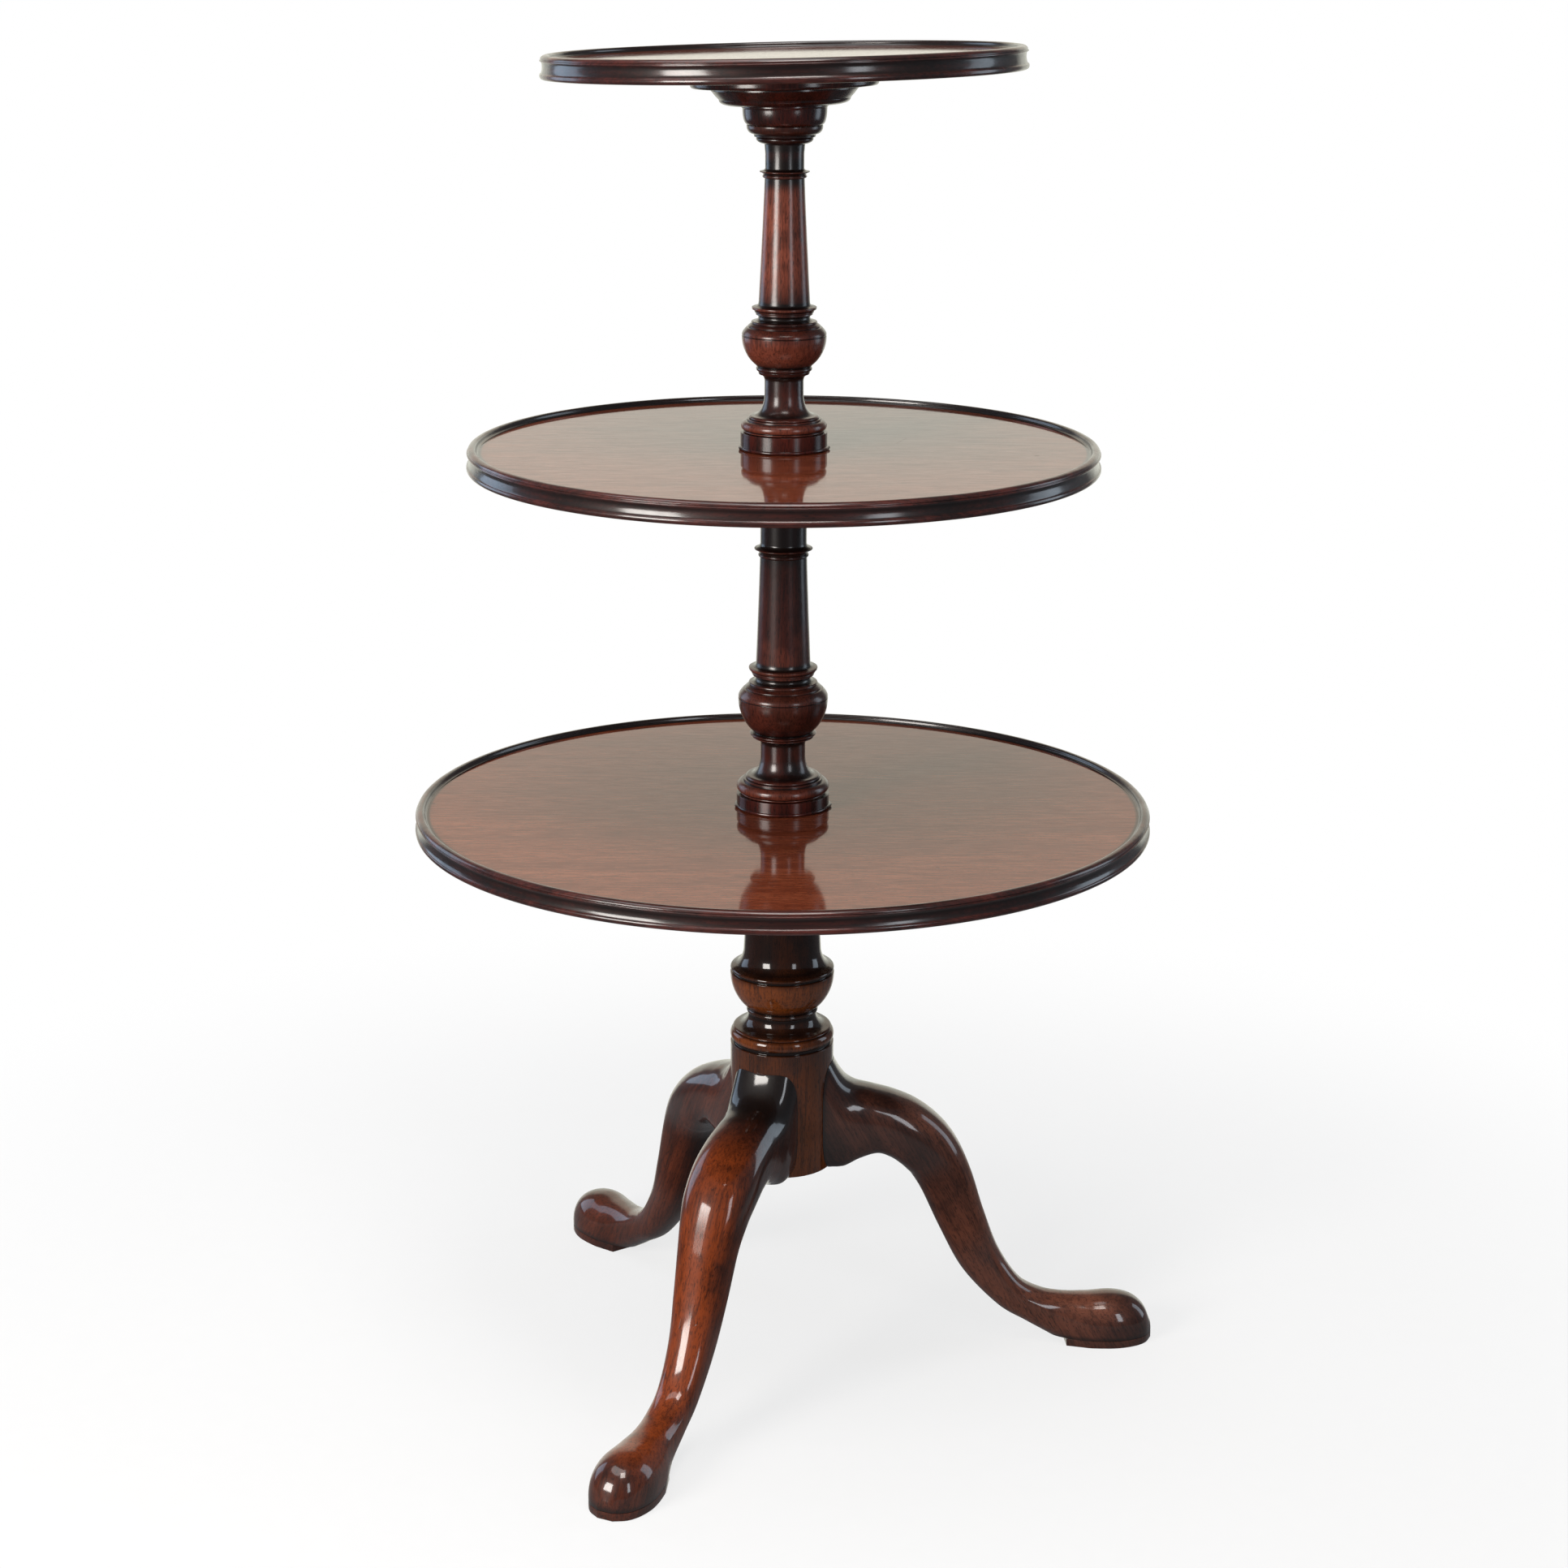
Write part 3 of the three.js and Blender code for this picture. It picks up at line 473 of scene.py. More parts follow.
# A copy of the turned finish with little warm wood: partly stain and partly painted shade on the block and
# cup under the top tray, and the collars' own darker tone.
shaded_finish = mahogany(
    "mahogany_shaded", tone(16, 7, 6), tone(44, 15, 11), tone(74, 26, 19), tone(96, 42, 31),
    UPRIGHT_GRAIN, polish=0.2, sheen=0.05, glow_share=0.15, wear_and_light_share=0.2)
PILLAR_MARKS = [
    ((-21, -38.5, 291), (-20.6, -38.7, 272), 0.5), ((20, -39, 288), (20.4, -38.8, 262), 0.35),
]
pillar_finish = mahogany(
    "mahogany_pillar", tone(18, 9, 6), tone(42, 20, 12), tone(68, 34, 18), tone(142, 72, 27),
    UPRIGHT_GRAIN, offset=(0.3, 0.1, 0), polish=0.09, sheen=0.05, glow_share=0.15, cloud=0.2,
    streak_share=0.2, wear_and_light_share=0.85, rub_loss=0.3, marks=PILLAR_MARKS)


def floor_mark(place, start, end, width):
    """A mark on a tray's floor between two places given across the tray."""
    ends = [place @ (Vector((*spot, BOARD)) * MM) / MM for spot in (start, end)]
    return (*ends, width)


TRAY_MARKS = [
    floor_mark(bottom_lean, (-291, -49), (-287, -48), 1.6),
    floor_mark(bottom_lean, (84, 31), (86, 31), 0.9),
    floor_mark(bottom_lean, (149, -156), (151, -155), 0.8),
    floor_mark(middle_level, (203, 5), (205, 5), 1),
    floor_mark(middle_level, (91, 67), (86, 42), 0.3),
]
tray_finish = mahogany(
    "mahogany_tray", tone(92, 42, 27), tone(116, 56, 36), tone(140, 74, 49), tone(140, 74, 49),
    TRAY_GRAIN, polish=0.05, sheen=0.0, glow_share=0.0, cloud=0.0,
    figure_share=0.3, streak_share=0.7, print_depth=0.03, wave_depth=0.1, coat_loss=0.0,
    coat_grain=0.1, grain=(40, 520), marks=TRAY_MARKS)
rim_finish = mahogany(
    "mahogany_rim", tone(24, 10, 9), tone(49, 20, 16), tone(78, 33, 27), tone(104, 48, 39),
    TRAY_GRAIN, offset=(0.2, 0, 0.1), polish=0.15, sheen=0.2, glow_share=0.1, wear_and_light_share=0.2)

LEG_ANGLES = (15, 135, 255)
ROOT_DARKENING = (0.15, 0.15, 0.42)
LEG_TONES = (tone(27, 12, 8), tone(58, 26, 17), tone(90, 43, 27), tone(142, 62, 22))
SIDE_LEG_TONES = (tone(27, 13, 10), tone(54, 28, 21), tone(80, 44, 33), tone(136, 78, 56))
LEG_GRAIN = Matrix.Rotation(-radians(62), 3, "Y")
FRONT_LEG_MARKS = [
    ((178, 6, 117), (188, -9, 96), 0.5), ((181, 14, 110), (184, 6, 104), 0.4),
    ((128, -12, 224), (120, -22, 226), 0.45), ((190, 4, 84), (191, 3, 81), 1.1),
    ((206, 12, 64), (207, 11, 62), 0.9), ((172, -4, 136), (186, -6, 100), 0.2),
    ((316, 12, 22), (314, -8, 22), 0.3), ((318, 10, 16), (316, -12, 15), 0.3),
]
SIDE_LEG_MARKS = [
    ((104, -29, 190), (118, -29, 202), 0.45), ((150, -24, 190), (172, -18, 150), 0.35),
    ((200, -16, 66), (216, -15, 44), 0.3), ((284, 20, 26), (292, 10, 40), 0.35),
]
BACK_LEG_MARKS = [
    ((92, 29, 205), (104, 28, 222), 0.4), ((172, 21, 120), (186, 19, 92), 0.3),
]


def leg_finish(index, tones, wear_and_light_share, marks):
    """A leg's finish: its grain and its marks turn with the leg."""
    angle = radians(LEG_ANGLES[index])
    grain_turn = (LEG_GRAIN @ Matrix.Rotation(-angle, 3, "Z")).to_euler()
    turn = Matrix.Rotation(angle, 3, "Z")
    turned_marks = [(turn @ Vector(start), turn @ Vector(end), width) for start, end, width in marks]
    return mahogany(
        f"mahogany_leg_{index + 1}", *tones, grain_turn, offset=(0.17 * index, 0.05, 0), polish=0.09,
        sheen=0.18, glow_share=0.15, cloud=0.2, wear_and_light_share=wear_and_light_share, coat_loss=0.1, rub_loss=0.05,
        figure_share=0.45, streak_share=0.4, marks=turned_marks)


leg_finishes = [
    leg_finish(0, SIDE_LEG_TONES, 0.8, SIDE_LEG_MARKS), leg_finish(1, LEG_TONES, 0.35, BACK_LEG_MARKS),
    leg_finish(2, LEG_TONES, 0.85, FRONT_LEG_MARKS)]


# The undersides: planed mahogany, dry and dusty, without polish
wood = Shader(bpy.data.materials.new("mahogany_unpolished"))
figure = wood.noise(wood.place((6, 60, 60), TRAY_GRAIN), detail=3, roughness=0.55, distortion=0.4)
streak = wood.noise(wood.place((20, 420, 420), TRAY_GRAIN), detail=4, roughness=0.65)
cuts = wood.noise(wood.place((60, 14, 14), TRAY_GRAIN))
blend = wood.math("MULTIPLY_ADD", streak, 0.5, wood.times(figure, 0.55))
colour = wood.ramp(blend, [(0.4, tone(56, 33, 23)), (0.55, tone(86, 54, 38)), (0.7, tone(112, 74, 53))])
colour = wood.mix(wood.smooth(cuts, 0.45, 0.75, 0, 0.4), colour, tone(104, 84, 68))
underside_finish = wood.finish({
    "Base Color": colour, "Roughness": wood.smooth(streak, 0.3, 0.7, 0.62, 0.8),
    "Normal": wood.bump(wood.math("ADD", streak, cuts), 0.0002, 0.6),
})

# Wrought iron with a brown skin of old rust
iron = Shader(bpy.data.materials.new("wrought_iron"))
blotch = iron.noise(iron.place((70, 70, 70)), detail=5, roughness=0.65, distortion=0.3)
grit = iron.noise(iron.place((700, 700, 700)), detail=3, roughness=0.6)
rust = iron.smooth(blotch, 0.42, 0.62)
colour = iron.mix(rust, tone(62, 58, 55), tone(96, 58, 38))
colour = iron.mix(iron.smooth(grit, 0.5, 0.75, 0, 0.5), colour, tone(34, 26, 23))
iron_finish = iron.finish({
    "Base Color": colour, "Metallic": iron.smooth(rust, 0, 1, 0.9, 0.1),
    "Roughness": iron.smooth(grit, 0.3, 0.7, 0.45, 0.75),
    "Normal": iron.bump(iron.math("ADD", blotch, grit), 0.0003, 0.7),
})

# Waxed leather gone dark
leather = Shader(bpy.data.materials.new("waxed_leather"))
grain = leather.noise(leather.place((900, 900, 900)), detail=3, roughness=0.6)
patch = leather.noise(leather.place((60, 60, 60)), detail=3)
colour = leather.mix(leather.smooth(patch, 0.35, 0.65), tone(40, 25, 18), tone(66, 42, 28))
leather_finish = leather.finish({
    "Base Color": colour, "Roughness": leather.smooth(grain, 0.3, 0.7, 0.55, 0.8),
    "Normal": leather.bump(grain, 0.0002, 0.6),
})


def dress(piece, node, *finishes, slot="mahogany_turned", place=None):
    """The piece stands for a node: it takes the node's place, body and finishes."""
    for finish in finishes:
        piece.data.materials.append(finish)
    if place:
        piece.data.transform(place)
    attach(piece, body_of[node])
    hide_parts(node)


# The places of a tray's finishes
RIM, UNDERSIDE = 1, 2
UNDERSIDE_INSET = 4
# Painted shade on the inner side of the rim, from this inset down to the floor.
RIM_PAINTED_SHADE_INSET = 6
RIM_PAINTED_SHADE = 0.32
LEVEL = 0.95
COLLAR_BEAD = 2.6
COLLAR_BEAD_REACH = 1.1
RIPPLE = 0.35
DROP = 1.1
DROP_SHARPNESS = 260
DROP_ANGLES = (0.1, 3.5)


def tray_outline(radius, base, bore):
    """A dished tray's section: rounded foot, long cove, fillet, low bead and floor."""
    floor = base + BOARD
    sole = (radius - 2.4, base)
    foot = (radius, base + 2.6)
    cove_foot = (radius - 0.5, base + 4.2)
    cove_waist = (radius - 2.3, base + 10)
    cove_top = (radius - 1.2, base + 13.6)
    fillet = radius - 0.5
    crest = (radius - 5.6, floor + RIM_RISE)
    bead_foot = (radius - 8, floor + 1.9)
    return [
        (bore, base), (bore + 8, base), (radius - 14, base), sole, *quarter(sole, foot, False, 8),
        *quarter(foot, cove_foot, True, 4), *quarter(cove_foot, cove_waist, False, 8),
        *quarter(cove_waist, cove_top, True, 6),
        (fillet - 0.1, cove_top[1] + 0.1), (fillet, cove_top[1] + 0.3), (fillet, base + 14.5),
        (fillet - 0.9, base + 14.7), (fillet - 0.9, base + 15.1),
        *quarter((fillet - 0.6, base + 15.2), crest, True, 12), *quarter(crest, bead_foot, False, 8),
        *quarter(bead_foot, (radius - 9.6, floor + 0.15), True, 5),
        (radius - RIM_WIDTH, floor), (radius - RIM_WIDTH - 3, floor),
        (radius - RIM_WIDTH - 7, floor), (bore + 8, floor), (bore, floor),
    ]


def make_tray(node, radius, base, bore, place):
    outline = tray_outline(radius, base, bore)
    piece = lathe("board_" + node, outline, sides=288, closed=bore > 0, corner=0.3)
    # Painted shade: the inner side of the rim is made darker.
    for vertex, depth in zip(piece.data.vertices, piece.data.attributes["hollow"].data):
        inward = radius - hypot(vertex.co.x, vertex.co.y) / MM
        if RIM_PAINTED_SHADE_INSET < inward < RIM_WIDTH + 0.5:
            depth.value = max(depth.value, RIM_PAINTED_SHADE)
    floor_edge = (radius - RIM_WIDTH + 0.2) * MM
    for face in piece.data.polygons:
        reach = hypot(face.center.x, face.center.y)
        level = abs(face.normal.z) > LEVEL
        if level and face.normal.z < 0 and reach < (radius - UNDERSIDE_INSET) * MM:
            face.material_index = UNDERSIDE
        elif not (level and reach < floor_edge):
            face.material_index = RIM
    dress(piece, node, tray_finish, rim_finish, underside_finish, slot="mahogany_tray", place=place)


def make_collar(node, radius, height, bore, place):
    base = BOARD + SEAT_GAP
    bead_top = base + COLLAR_BEAD
    outline = [(bore, base), (radius, base)]
    outline += bulge((radius, base), (radius, bead_top), radius + COLLAR_BEAD_REACH, 8)
    outline += [(radius, BOARD + height), (bore, BOARD + height)]

    def drips(angle, reach, level):
        """The uneven bead, with a drop of old polish on two sides."""
        if level > bead_top or reach < radius - 1:
            return 0
        swell = sin(angle * 7 + 1) * sin(angle * 3 + 0.4)
        drop = sum(max(0, cos(angle - side)) ** DROP_SHARPNESS for side in DROP_ANGLES)
        return RIPPLE * swell + DROP * drop

    piece = lathe("turned_" + node, outline, sides=160, closed=True, ripple=drips)
    dress(piece, node, shaded_finish, place=place)


BOTTOM_BORE = 16.9
MIDDLE_BORE = 13.5
make_tray("bottom_tray", radius=305, base=0, bore=BOTTOM_BORE, place=bottom_lean)
make_tray("middle_tray", radius=255.5, base=0, bore=MIDDLE_BORE, place=middle_level)
make_tray("top_tray", radius=190.8, base=BLOCK_HEIGHT + SEAT_GAP, bore=0, place=top_lean)
make_collar("bottom_collar", radius=38.5, height=11.5, bore=BOTTOM_BORE, place=bottom_lean)
make_collar("middle_collar", radius=35, height=14, bore=MIDDLE_BORE, place=middle_level)


# Turned columns

SHOULDER_LINE = 9
SHAFT_STEPS = 8
SHAFT_TAPER = 1.15
# Each size of the middle column and of the top column
COLUMN_SIZES = dict(
    spigot_radius=(16, 13), shoulder=(35.6, 32.6), groove=(1.6, 1.6), torus_radius=(38.4, 34.5),
    torus=(8.8, 7.3), step_radius=(33, 30), step=(2, 1.5), base_bead_radius=(30.9, 28.3),
    base_bead=(3, 2.6), flare_radius=(28.5, 26), flare=(16, 17), neck_radius=(18.5, 15.7), neck=(10, 11),
    ring_cove=(5.5, 5), ring_radius=(27.3, 22.3), ring=(5.6, 6.8), bowl_foot=(24.3, 21.8),
    bowl=(28, 23.5), bowl_radius=(37, 33.9), bowl_edge=(2, 1.8), shoulder_rise=(10, 8.5),
    shoulder_top=(28.4, 26.4), shoulder_ring=(2.4, 2), cove_radius=(22.8, 20.7), cove=(5.6, 5),
    fillet_radius=(25.4, 22.8), fillet=(1.5, 1.4), collar_radius=(28.3, 25.9), collar_ring=(6.4, 5.8),
    shaft_foot=(22.3, 20.4), shaft_flare=(5.2, 4.4), shaft_top=(19.2, 15.8),
    top_fillet_radius=(20.6, 17.6), top_fillet=(2.4, 2.2), top_ring_radius=(23.8, 19.8),
    top_ring=(9, 5.4), top_neck_radius=(18.9, 15.4), top_neck=(43.5, 11.2))
MIDDLE_COLUMN, TOP_COLUMN = [
    SimpleNamespace(**{name: sizes[column] for name, sizes in COLUMN_SIZES.items()}) for column in (0, 1)
]


def column_outline(s, foot, seat, neck_top):
    """The mouldings that both columns have, from the spigot to the top ring."""
    groove = seat + s.groove
    torus = groove + s.torus
    step = torus + s.step
    base_bead = step + s.base_bead
    neck = base_bead + (s.flare + s.neck)
    ring_foot = neck + s.ring_cove
    lip = s.bowl_foot - 1.8
    ring_split = ring_foot + s.ring * 0.36
    ring = ring_foot + s.ring
    brim = ring + s.bowl
    bowl_line = s.bowl_radius - 0.9
    edge = brim + s.bowl_edge
    rise = edge + s.shoulder_rise
    shoulder = ease((s.bowl_radius, edge), (s.shoulder_top + 0.4, rise), 1.6, 14)
    line = shoulder[SHOULDER_LINE]
    shoulder_ring = rise + s.shoulder_ring
    dip = shoulder_ring + s.cove * 0.6
    collar_foot = shoulder_ring + (s.cove + s.fillet)
    collar_split = collar_foot + s.collar_ring * 0.28
    collar_edge = collar_foot + s.collar_ring * 0.62
    collar = collar_foot + s.collar_ring
    shaft_foot = collar + s.shaft_flare
    top_ring = neck_top - s.top_neck - s.top_ring
    shaft_end = top_ring - s.top_fillet
    top_edge = top_ring + s.top_ring * 0.42
    shaft = []
    for place in range(1, SHAFT_STEPS + 1):
        share = place / SHAFT_STEPS
        radius = s.shaft_top + (s.shaft_foot - s.shaft_top) * (1 - share) ** SHAFT_TAPER
        shaft.append((radius, shaft_foot + (shaft_end - shaft_foot) * share))
    return [
        (0, foot), (s.spigot_radius, foot), (s.spigot_radius, seat), (s.shoulder, seat),
        (s.shoulder, groove - 0.5), (s.shoulder - 1.2, groove - 0.4), (s.shoulder - 1.2, groove),
        *bulge((s.shoulder - 0.6, groove), (s.step_radius + 0.6, torus), s.torus_radius, 18),
        (s.step_radius, torus), (s.step_radius, step),
        *bulge((s.base_bead_radius - 1.2, step), (s.flare_radius, base_bead), s.base_bead_radius, 8),
        *quarter((s.flare_radius - 0.5, base_bead), (s.neck_radius, base_bead + s.flare), False, 16),
        (s.neck_radius, neck), *quarter((s.neck_radius, neck), (lip, ring_foot), True, 8),
        *bulge((lip, ring_foot), (lip + 0.8, ring_split), s.ring_radius - 1.7, 8),
        *bulge((lip + 1, ring_split + 0.3), (s.bowl_foot - 0.5, ring_foot + s.ring * 0.86),
               s.ring_radius + 0.2, 10),
        *bowl((s.bowl_foot, ring), (s.bowl_radius, brim)),
        (s.bowl_radius, brim + 0.3), (bowl_line, brim + 0.5), (bowl_line, brim + 1),
        (s.bowl_radius, brim + 1.2), *shoulder[:SHOULDER_LINE],
        (line[0] - 0.9, line[1] - 0.2), (line[0] - 0.7, line[1] + 0.3), *shoulder[SHOULDER_LINE + 1:],
        *bulge((s.shoulder_top - 0.8, rise), (s.shoulder_top - 1, shoulder_ring), s.shoulder_top + 0.1, 6),
        *quarter((s.shoulder_top - 1.8, shoulder_ring), (s.cove_radius, dip), False, 7),
        *quarter((s.cove_radius, dip), (s.fillet_radius, shoulder_ring + s.cove), True, 6),
        (s.fillet_radius, collar_foot),
        *bulge((s.fillet_radius - 0.6, collar_foot), (s.fillet_radius - 0.2, collar_split),
               s.fillet_radius + 1, 8),
        *quarter((s.fillet_radius + 0.2, collar_split + 0.3), (s.collar_radius, collar_edge), False, 7),
        (s.collar_radius, collar_edge + 1.1),
        *quarter((s.collar_radius - 0.3, collar_edge + 1.4), (s.shaft_foot + 0.9, collar + 0.4), False, 7),
        *quarter((s.shaft_foot + 0.9, collar + 0.4), (s.shaft_foot, shaft_foot), False, 5), *shaft,
        *bulge((s.top_fillet_radius - 1, shaft_end), (s.top_fillet_radius - 1, top_ring),
               s.top_fillet_radius, 8),
        *quarter((s.top_fillet_radius - 0.6, top_ring), (s.top_ring_radius, top_edge), True, 6),
        (s.top_ring_radius, top_edge + 0.7),
        *quarter((s.top_ring_radius, top_edge + 0.7), (s.top_neck_radius, top_ring + s.top_ring), False, 8),
    ]


COLUMN_SIDES = 160
MIDDLE_FOOT = 436.9
MIDDLE_SEAT = 511
MIDDLE_TOP = 782.6
FLANGE = 7
FLANGE_COVE = 10
FLANGE_RADIUS = 34
MIDDLE_SOCKET = 13.3
MIDDLE_SOCKET_DEPTH = 42
middle_neck_top = MIDDLE_TOP - FLANGE - FLANGE_COVE
middle_neck = (MIDDLE_COLUMN.top_neck_radius, middle_neck_top)
middle_column = [
    *column_outline(MIDDLE_COLUMN, MIDDLE_FOOT, MIDDLE_SEAT, middle_neck_top), middle_neck,
    *quarter(middle_neck, (FLANGE_RADIUS, MIDDLE_TOP - FLANGE), True),
    (FLANGE_RADIUS, MIDDLE_TOP), (MIDDLE_SOCKET, MIDDLE_TOP),
    (MIDDLE_SOCKET, MIDDLE_TOP - MIDDLE_SOCKET_DEPTH), (0, MIDDLE_TOP - MIDDLE_SOCKET_DEPTH),
]
dress(lathe("turned_middle_column", middle_column, COLUMN_SIDES), "middle_column", turned_finish)

TOP_FOOT = 740.9
TOP_SEAT = 813.5
CUP_STEM = 1041.5
CUP_BEAD = 4.2
CUP_SPLIT = 1055
CUP_RADIUS = 30.1
SPINDLE_BORE = 7.3
SPINDLE_FOOT = 1011
top_neck_top = CUP_STEM - CUP_BEAD * 2
cup_foot = CUP_STEM + CUP_BEAD
top_column = [
    *column_outline(TOP_COLUMN, TOP_FOOT, TOP_SEAT, top_neck_top),
    (TOP_COLUMN.top_neck_radius, top_neck_top), (16.1, CUP_STEM - 1),
    *bulge((17.6, CUP_STEM - 0.6), (20.8, cup_foot), 22.2, 10),
    (24.2, cup_foot + 0.3), (24.5, cup_foot + 2.2),
    *quarter((24.6, cup_foot + 2.4), (CUP_RADIUS, CUP_SPLIT - 1), False, 8),
    (CUP_RADIUS, CUP_SPLIT), (SPINDLE_BORE, CUP_SPLIT), (SPINDLE_BORE, SPINDLE_FOOT), (0, SPINDLE_FOOT),
]
shaft_rub = [(910, 1024, 34, 0.85), (863, 896, 10, 0.5)]
# Partly dark stain and partly painted shade on the cup and its stem under the top tray.
cup_stain_and_shade = [(CUP_STEM - 4, CUP_SPLIT + 20, 6, 0.25)]
dress(lathe("turned_top_column", top_column, COLUMN_SIDES, rubs=shaft_rub, stain_and_shade_bands=cup_stain_and_shade,
            shade=0.1), "top_column", turned_finish)


# Pillar

PILLAR_FOOT = 180.5
PILLAR_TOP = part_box("pillar")[1].z / MM
PILLAR_RADIUS = 43.9
PILLAR_FLANGE = 44
PILLAR_SOCKET = 16.3
PILLAR_SOCKET_DEPTH = 45
PILLAR_SHAFT = 27.5
pillar = [
    (0, PILLAR_FOOT), (43.3, PILLAR_FOOT), (PILLAR_RADIUS, PILLAR_FOOT + 0.6),
    (PILLAR_RADIUS, 290.3), (42, 290.9), (41.9, 293),
    *bulge((42.2, 293.5), (41.4, 302), 44, 16), (40.6, 302.2),
    *bulge((40.9, 302.4), (39.8, 304.6), 41.7, 8),
    *quarter((38.6, 304.9), (29, 316.3), False, 14), (29, 316.9), *bulge((29, 317), (29.2, 320.6), 30.3, 8),
    *bowl((29.2, 321.3), (44, 352.3), 20), (43.9, 352.8), (42, 353.3), (42, 354.8),
    *bulge((42.4, 355), (41.9, 358.4), 43.9, 10),
    *quarter((41.6, 358.9), (32.6, 375.5), False, 16), (30.2, 420), (27.9, 441.5),
    *bulge((27.9, 442.6), (27.9, 448.6), 33, 12), (PILLAR_SHAFT, 449.4), (PILLAR_SHAFT, 464.5),
    *quarter((PILLAR_SHAFT, 464.5), (PILLAR_FLANGE, 473.5), True),
    (PILLAR_FLANGE, PILLAR_TOP), (PILLAR_SOCKET, PILLAR_TOP),
    (PILLAR_SOCKET, PILLAR_TOP - PILLAR_SOCKET_DEPTH), (0, PILLAR_TOP - PILLAR_SOCKET_DEPTH),
]
pillar_rub = [(321, 356, 8, 0.7), (150, 292, 6, 0.8), (293, 303, 3, 0.7)]
# Painted shade on the upper pillar under the bottom tray and in the cove below the bowl.
pillar_painted_shade = [(352.5, 520, 3, 0.22), (303.5, 322, 2, 0.22)]
dress(lathe("turned_pillar", pillar, sides=192, rubs=pillar_rub, stain_and_shade_bands=pillar_painted_shade),
      "pillar", pillar_finish)


# Block and cup under the top tray

SPINDLE_SOCKET = 10
SPINDLE_SOCKET_DEPTH = 14.5
BLOCK_EDGE = 74
block = [
    (0, SPINDLE_SOCKET_DEPTH), (SPINDLE_SOCKET, SPINDLE_SOCKET_DEPTH), (SPINDLE_SOCKET, 0),
    (43, 0), (45, 0), *quarter((45, 0.3), (51.8, 4.6), False, 8), (54.8, 7.8), (57.3, 11),
    (58, 11.6), (58, 13.3), (60, 13.65), (71.6, 13.65), *quarter((71.6, 13.65), (BLOCK_EDGE, 16), False, 8),
    (BLOCK_EDGE, BLOCK_HEIGHT), (0, BLOCK_HEIGHT),
]
dress(lathe("turned_block", block, COLUMN_SIDES), "top_block", shaded_finish, place=top_lean)

CUP_BORE = 7.5
CUP_BRIM = 34.2
cup_base = CUP_SPLIT + RUN_GAP
cup_top = BLOCK_FOOT - SEAT_GAP
cup_waist = (33.3, cup_top - 3)
cup = [
    (CUP_BORE, cup_base), (CUP_RADIUS, cup_base),
    *quarter((CUP_RADIUS, cup_base + 0.4), cup_waist, False, 12),
    *quarter(cup_waist, (CUP_BRIM, cup_top - 1.4), True, 4), (CUP_BRIM, cup_top), (CUP_BORE, cup_top),
]
cup_piece = lathe("turned_cup", cup, sides=128, closed=True)
slope = tan(radians(TOP_LEAN_ANGLE))
heading = radians(TOP_LEAN_TOWARDS)
for vertex in cup_piece.data.vertices:
    share = (vertex.co.z / MM - cup_base) / (cup_top - cup_base)
    reach = vertex.co.x * cos(heading) + vertex.co.y * sin(heading)
    vertex.co.z += reach * slope * max(0, share)
dress(cup_piece, "top_cup", shaded_finish)


# Legs: the stations of their crest and belly, as shares of the reach, the pillar's foot height
# and the half width

LEG_REACH = 329
LEG_HALF_WIDTH = 30
LEG_SHARES = (
    (0.103, 1.632, 0.103, 0.983, 1), (0.152, 1.454, 0.152, 0.983, 1), (0.188, 1.388, 0.201, 1.022, 0.98),
    (0.24, 1.357, 0.246, 1.042, 0.97), (0.298, 1.324, 0.28, 1.019, 0.98),
    (0.359, 1.271, 0.307, 0.981, 0.99), (0.416, 1.188, 0.325, 0.947, 0.97),
    (0.462, 1.078, 0.34, 0.914, 0.93), (0.502, 0.911, 0.37, 0.821, 0.83),
    (0.538, 0.701, 0.422, 0.612, 0.74), (0.581, 0.496, 0.483, 0.399, 0.64),
    (0.638, 0.335, 0.578, 0.206, 0.58), (0.699, 0.266, 0.657, 0.111, 0.58),
    (0.76, 0.241, 0.739, 0.017, 0.63), (0.827, 0.233, 0.815, -0.089, 0.82),
    (0.894, 0.235, 0.888, -0.122, 0.9), (0.945, 0.213, 0.939, -0.111, 0.8),
    (0.979, 0.161, 0.976, -0.078, 0.58), (0.998, 0.083, 0.998, -0.022, 0.23),
)
ROOT_CREST, ROOT_BELLY, ANKLE, ROOT_BLEND = 0.42, 0.2, 0.44, 0.45
PAD = 7
PAD_HEEL = (0.763 * LEG_REACH, 17.5)
PAD_SIDE = 0.82 * LEG_REACH
PAD_PLAN_STEPS = 400
# The pad's rings of vertices, each with its height and how far it is drawn in
PAD_RINGS = ((0, 0.7), (0.25, 0.25), (0.9, 0), (PAD - 0.7, 0), (PAD - 0.2, 0.15), (PAD, 0.5))
LEG_LINES = 88
LEG_RINGS = 170
ROOT_RADIUS = PILLAR_RADIUS + SEAT_GAP
ROOT_REACH = 65
ROOT_SEARCH = (-0.12, 0.35)
ROOT_SEARCH_STEPS = 30
ROOT_ARC_STEPS = 8


def run_point(points, along):
    """A point on the smooth run through the stations, straight before the first."""
    if along < 0:
        step = 0.01
        first = run_point(points, 0)
        return first + (run_point(points, step) - first) * (along / step)
    last = len(points) - 1
    place = min(along * last, last - 1e-9)
    index = int(place)
    share = place - index
    here, ahead = points[index], points[index + 1]
    back = points[index - 1] if index else here * 2 - ahead
    beyond = points[index + 2] if index + 2 <= last else ahead * 2 - here
    leave, arrive = (ahead - back) / 2, (beyond - here) / 2
    square, cube = share ** 2, share ** 3
    return (here * (2 * cube - 3 * square + 1) + leave * (cube - 2 * square + share)
            + ahead * (3 * square - 2 * cube) + arrive * (cube - square))


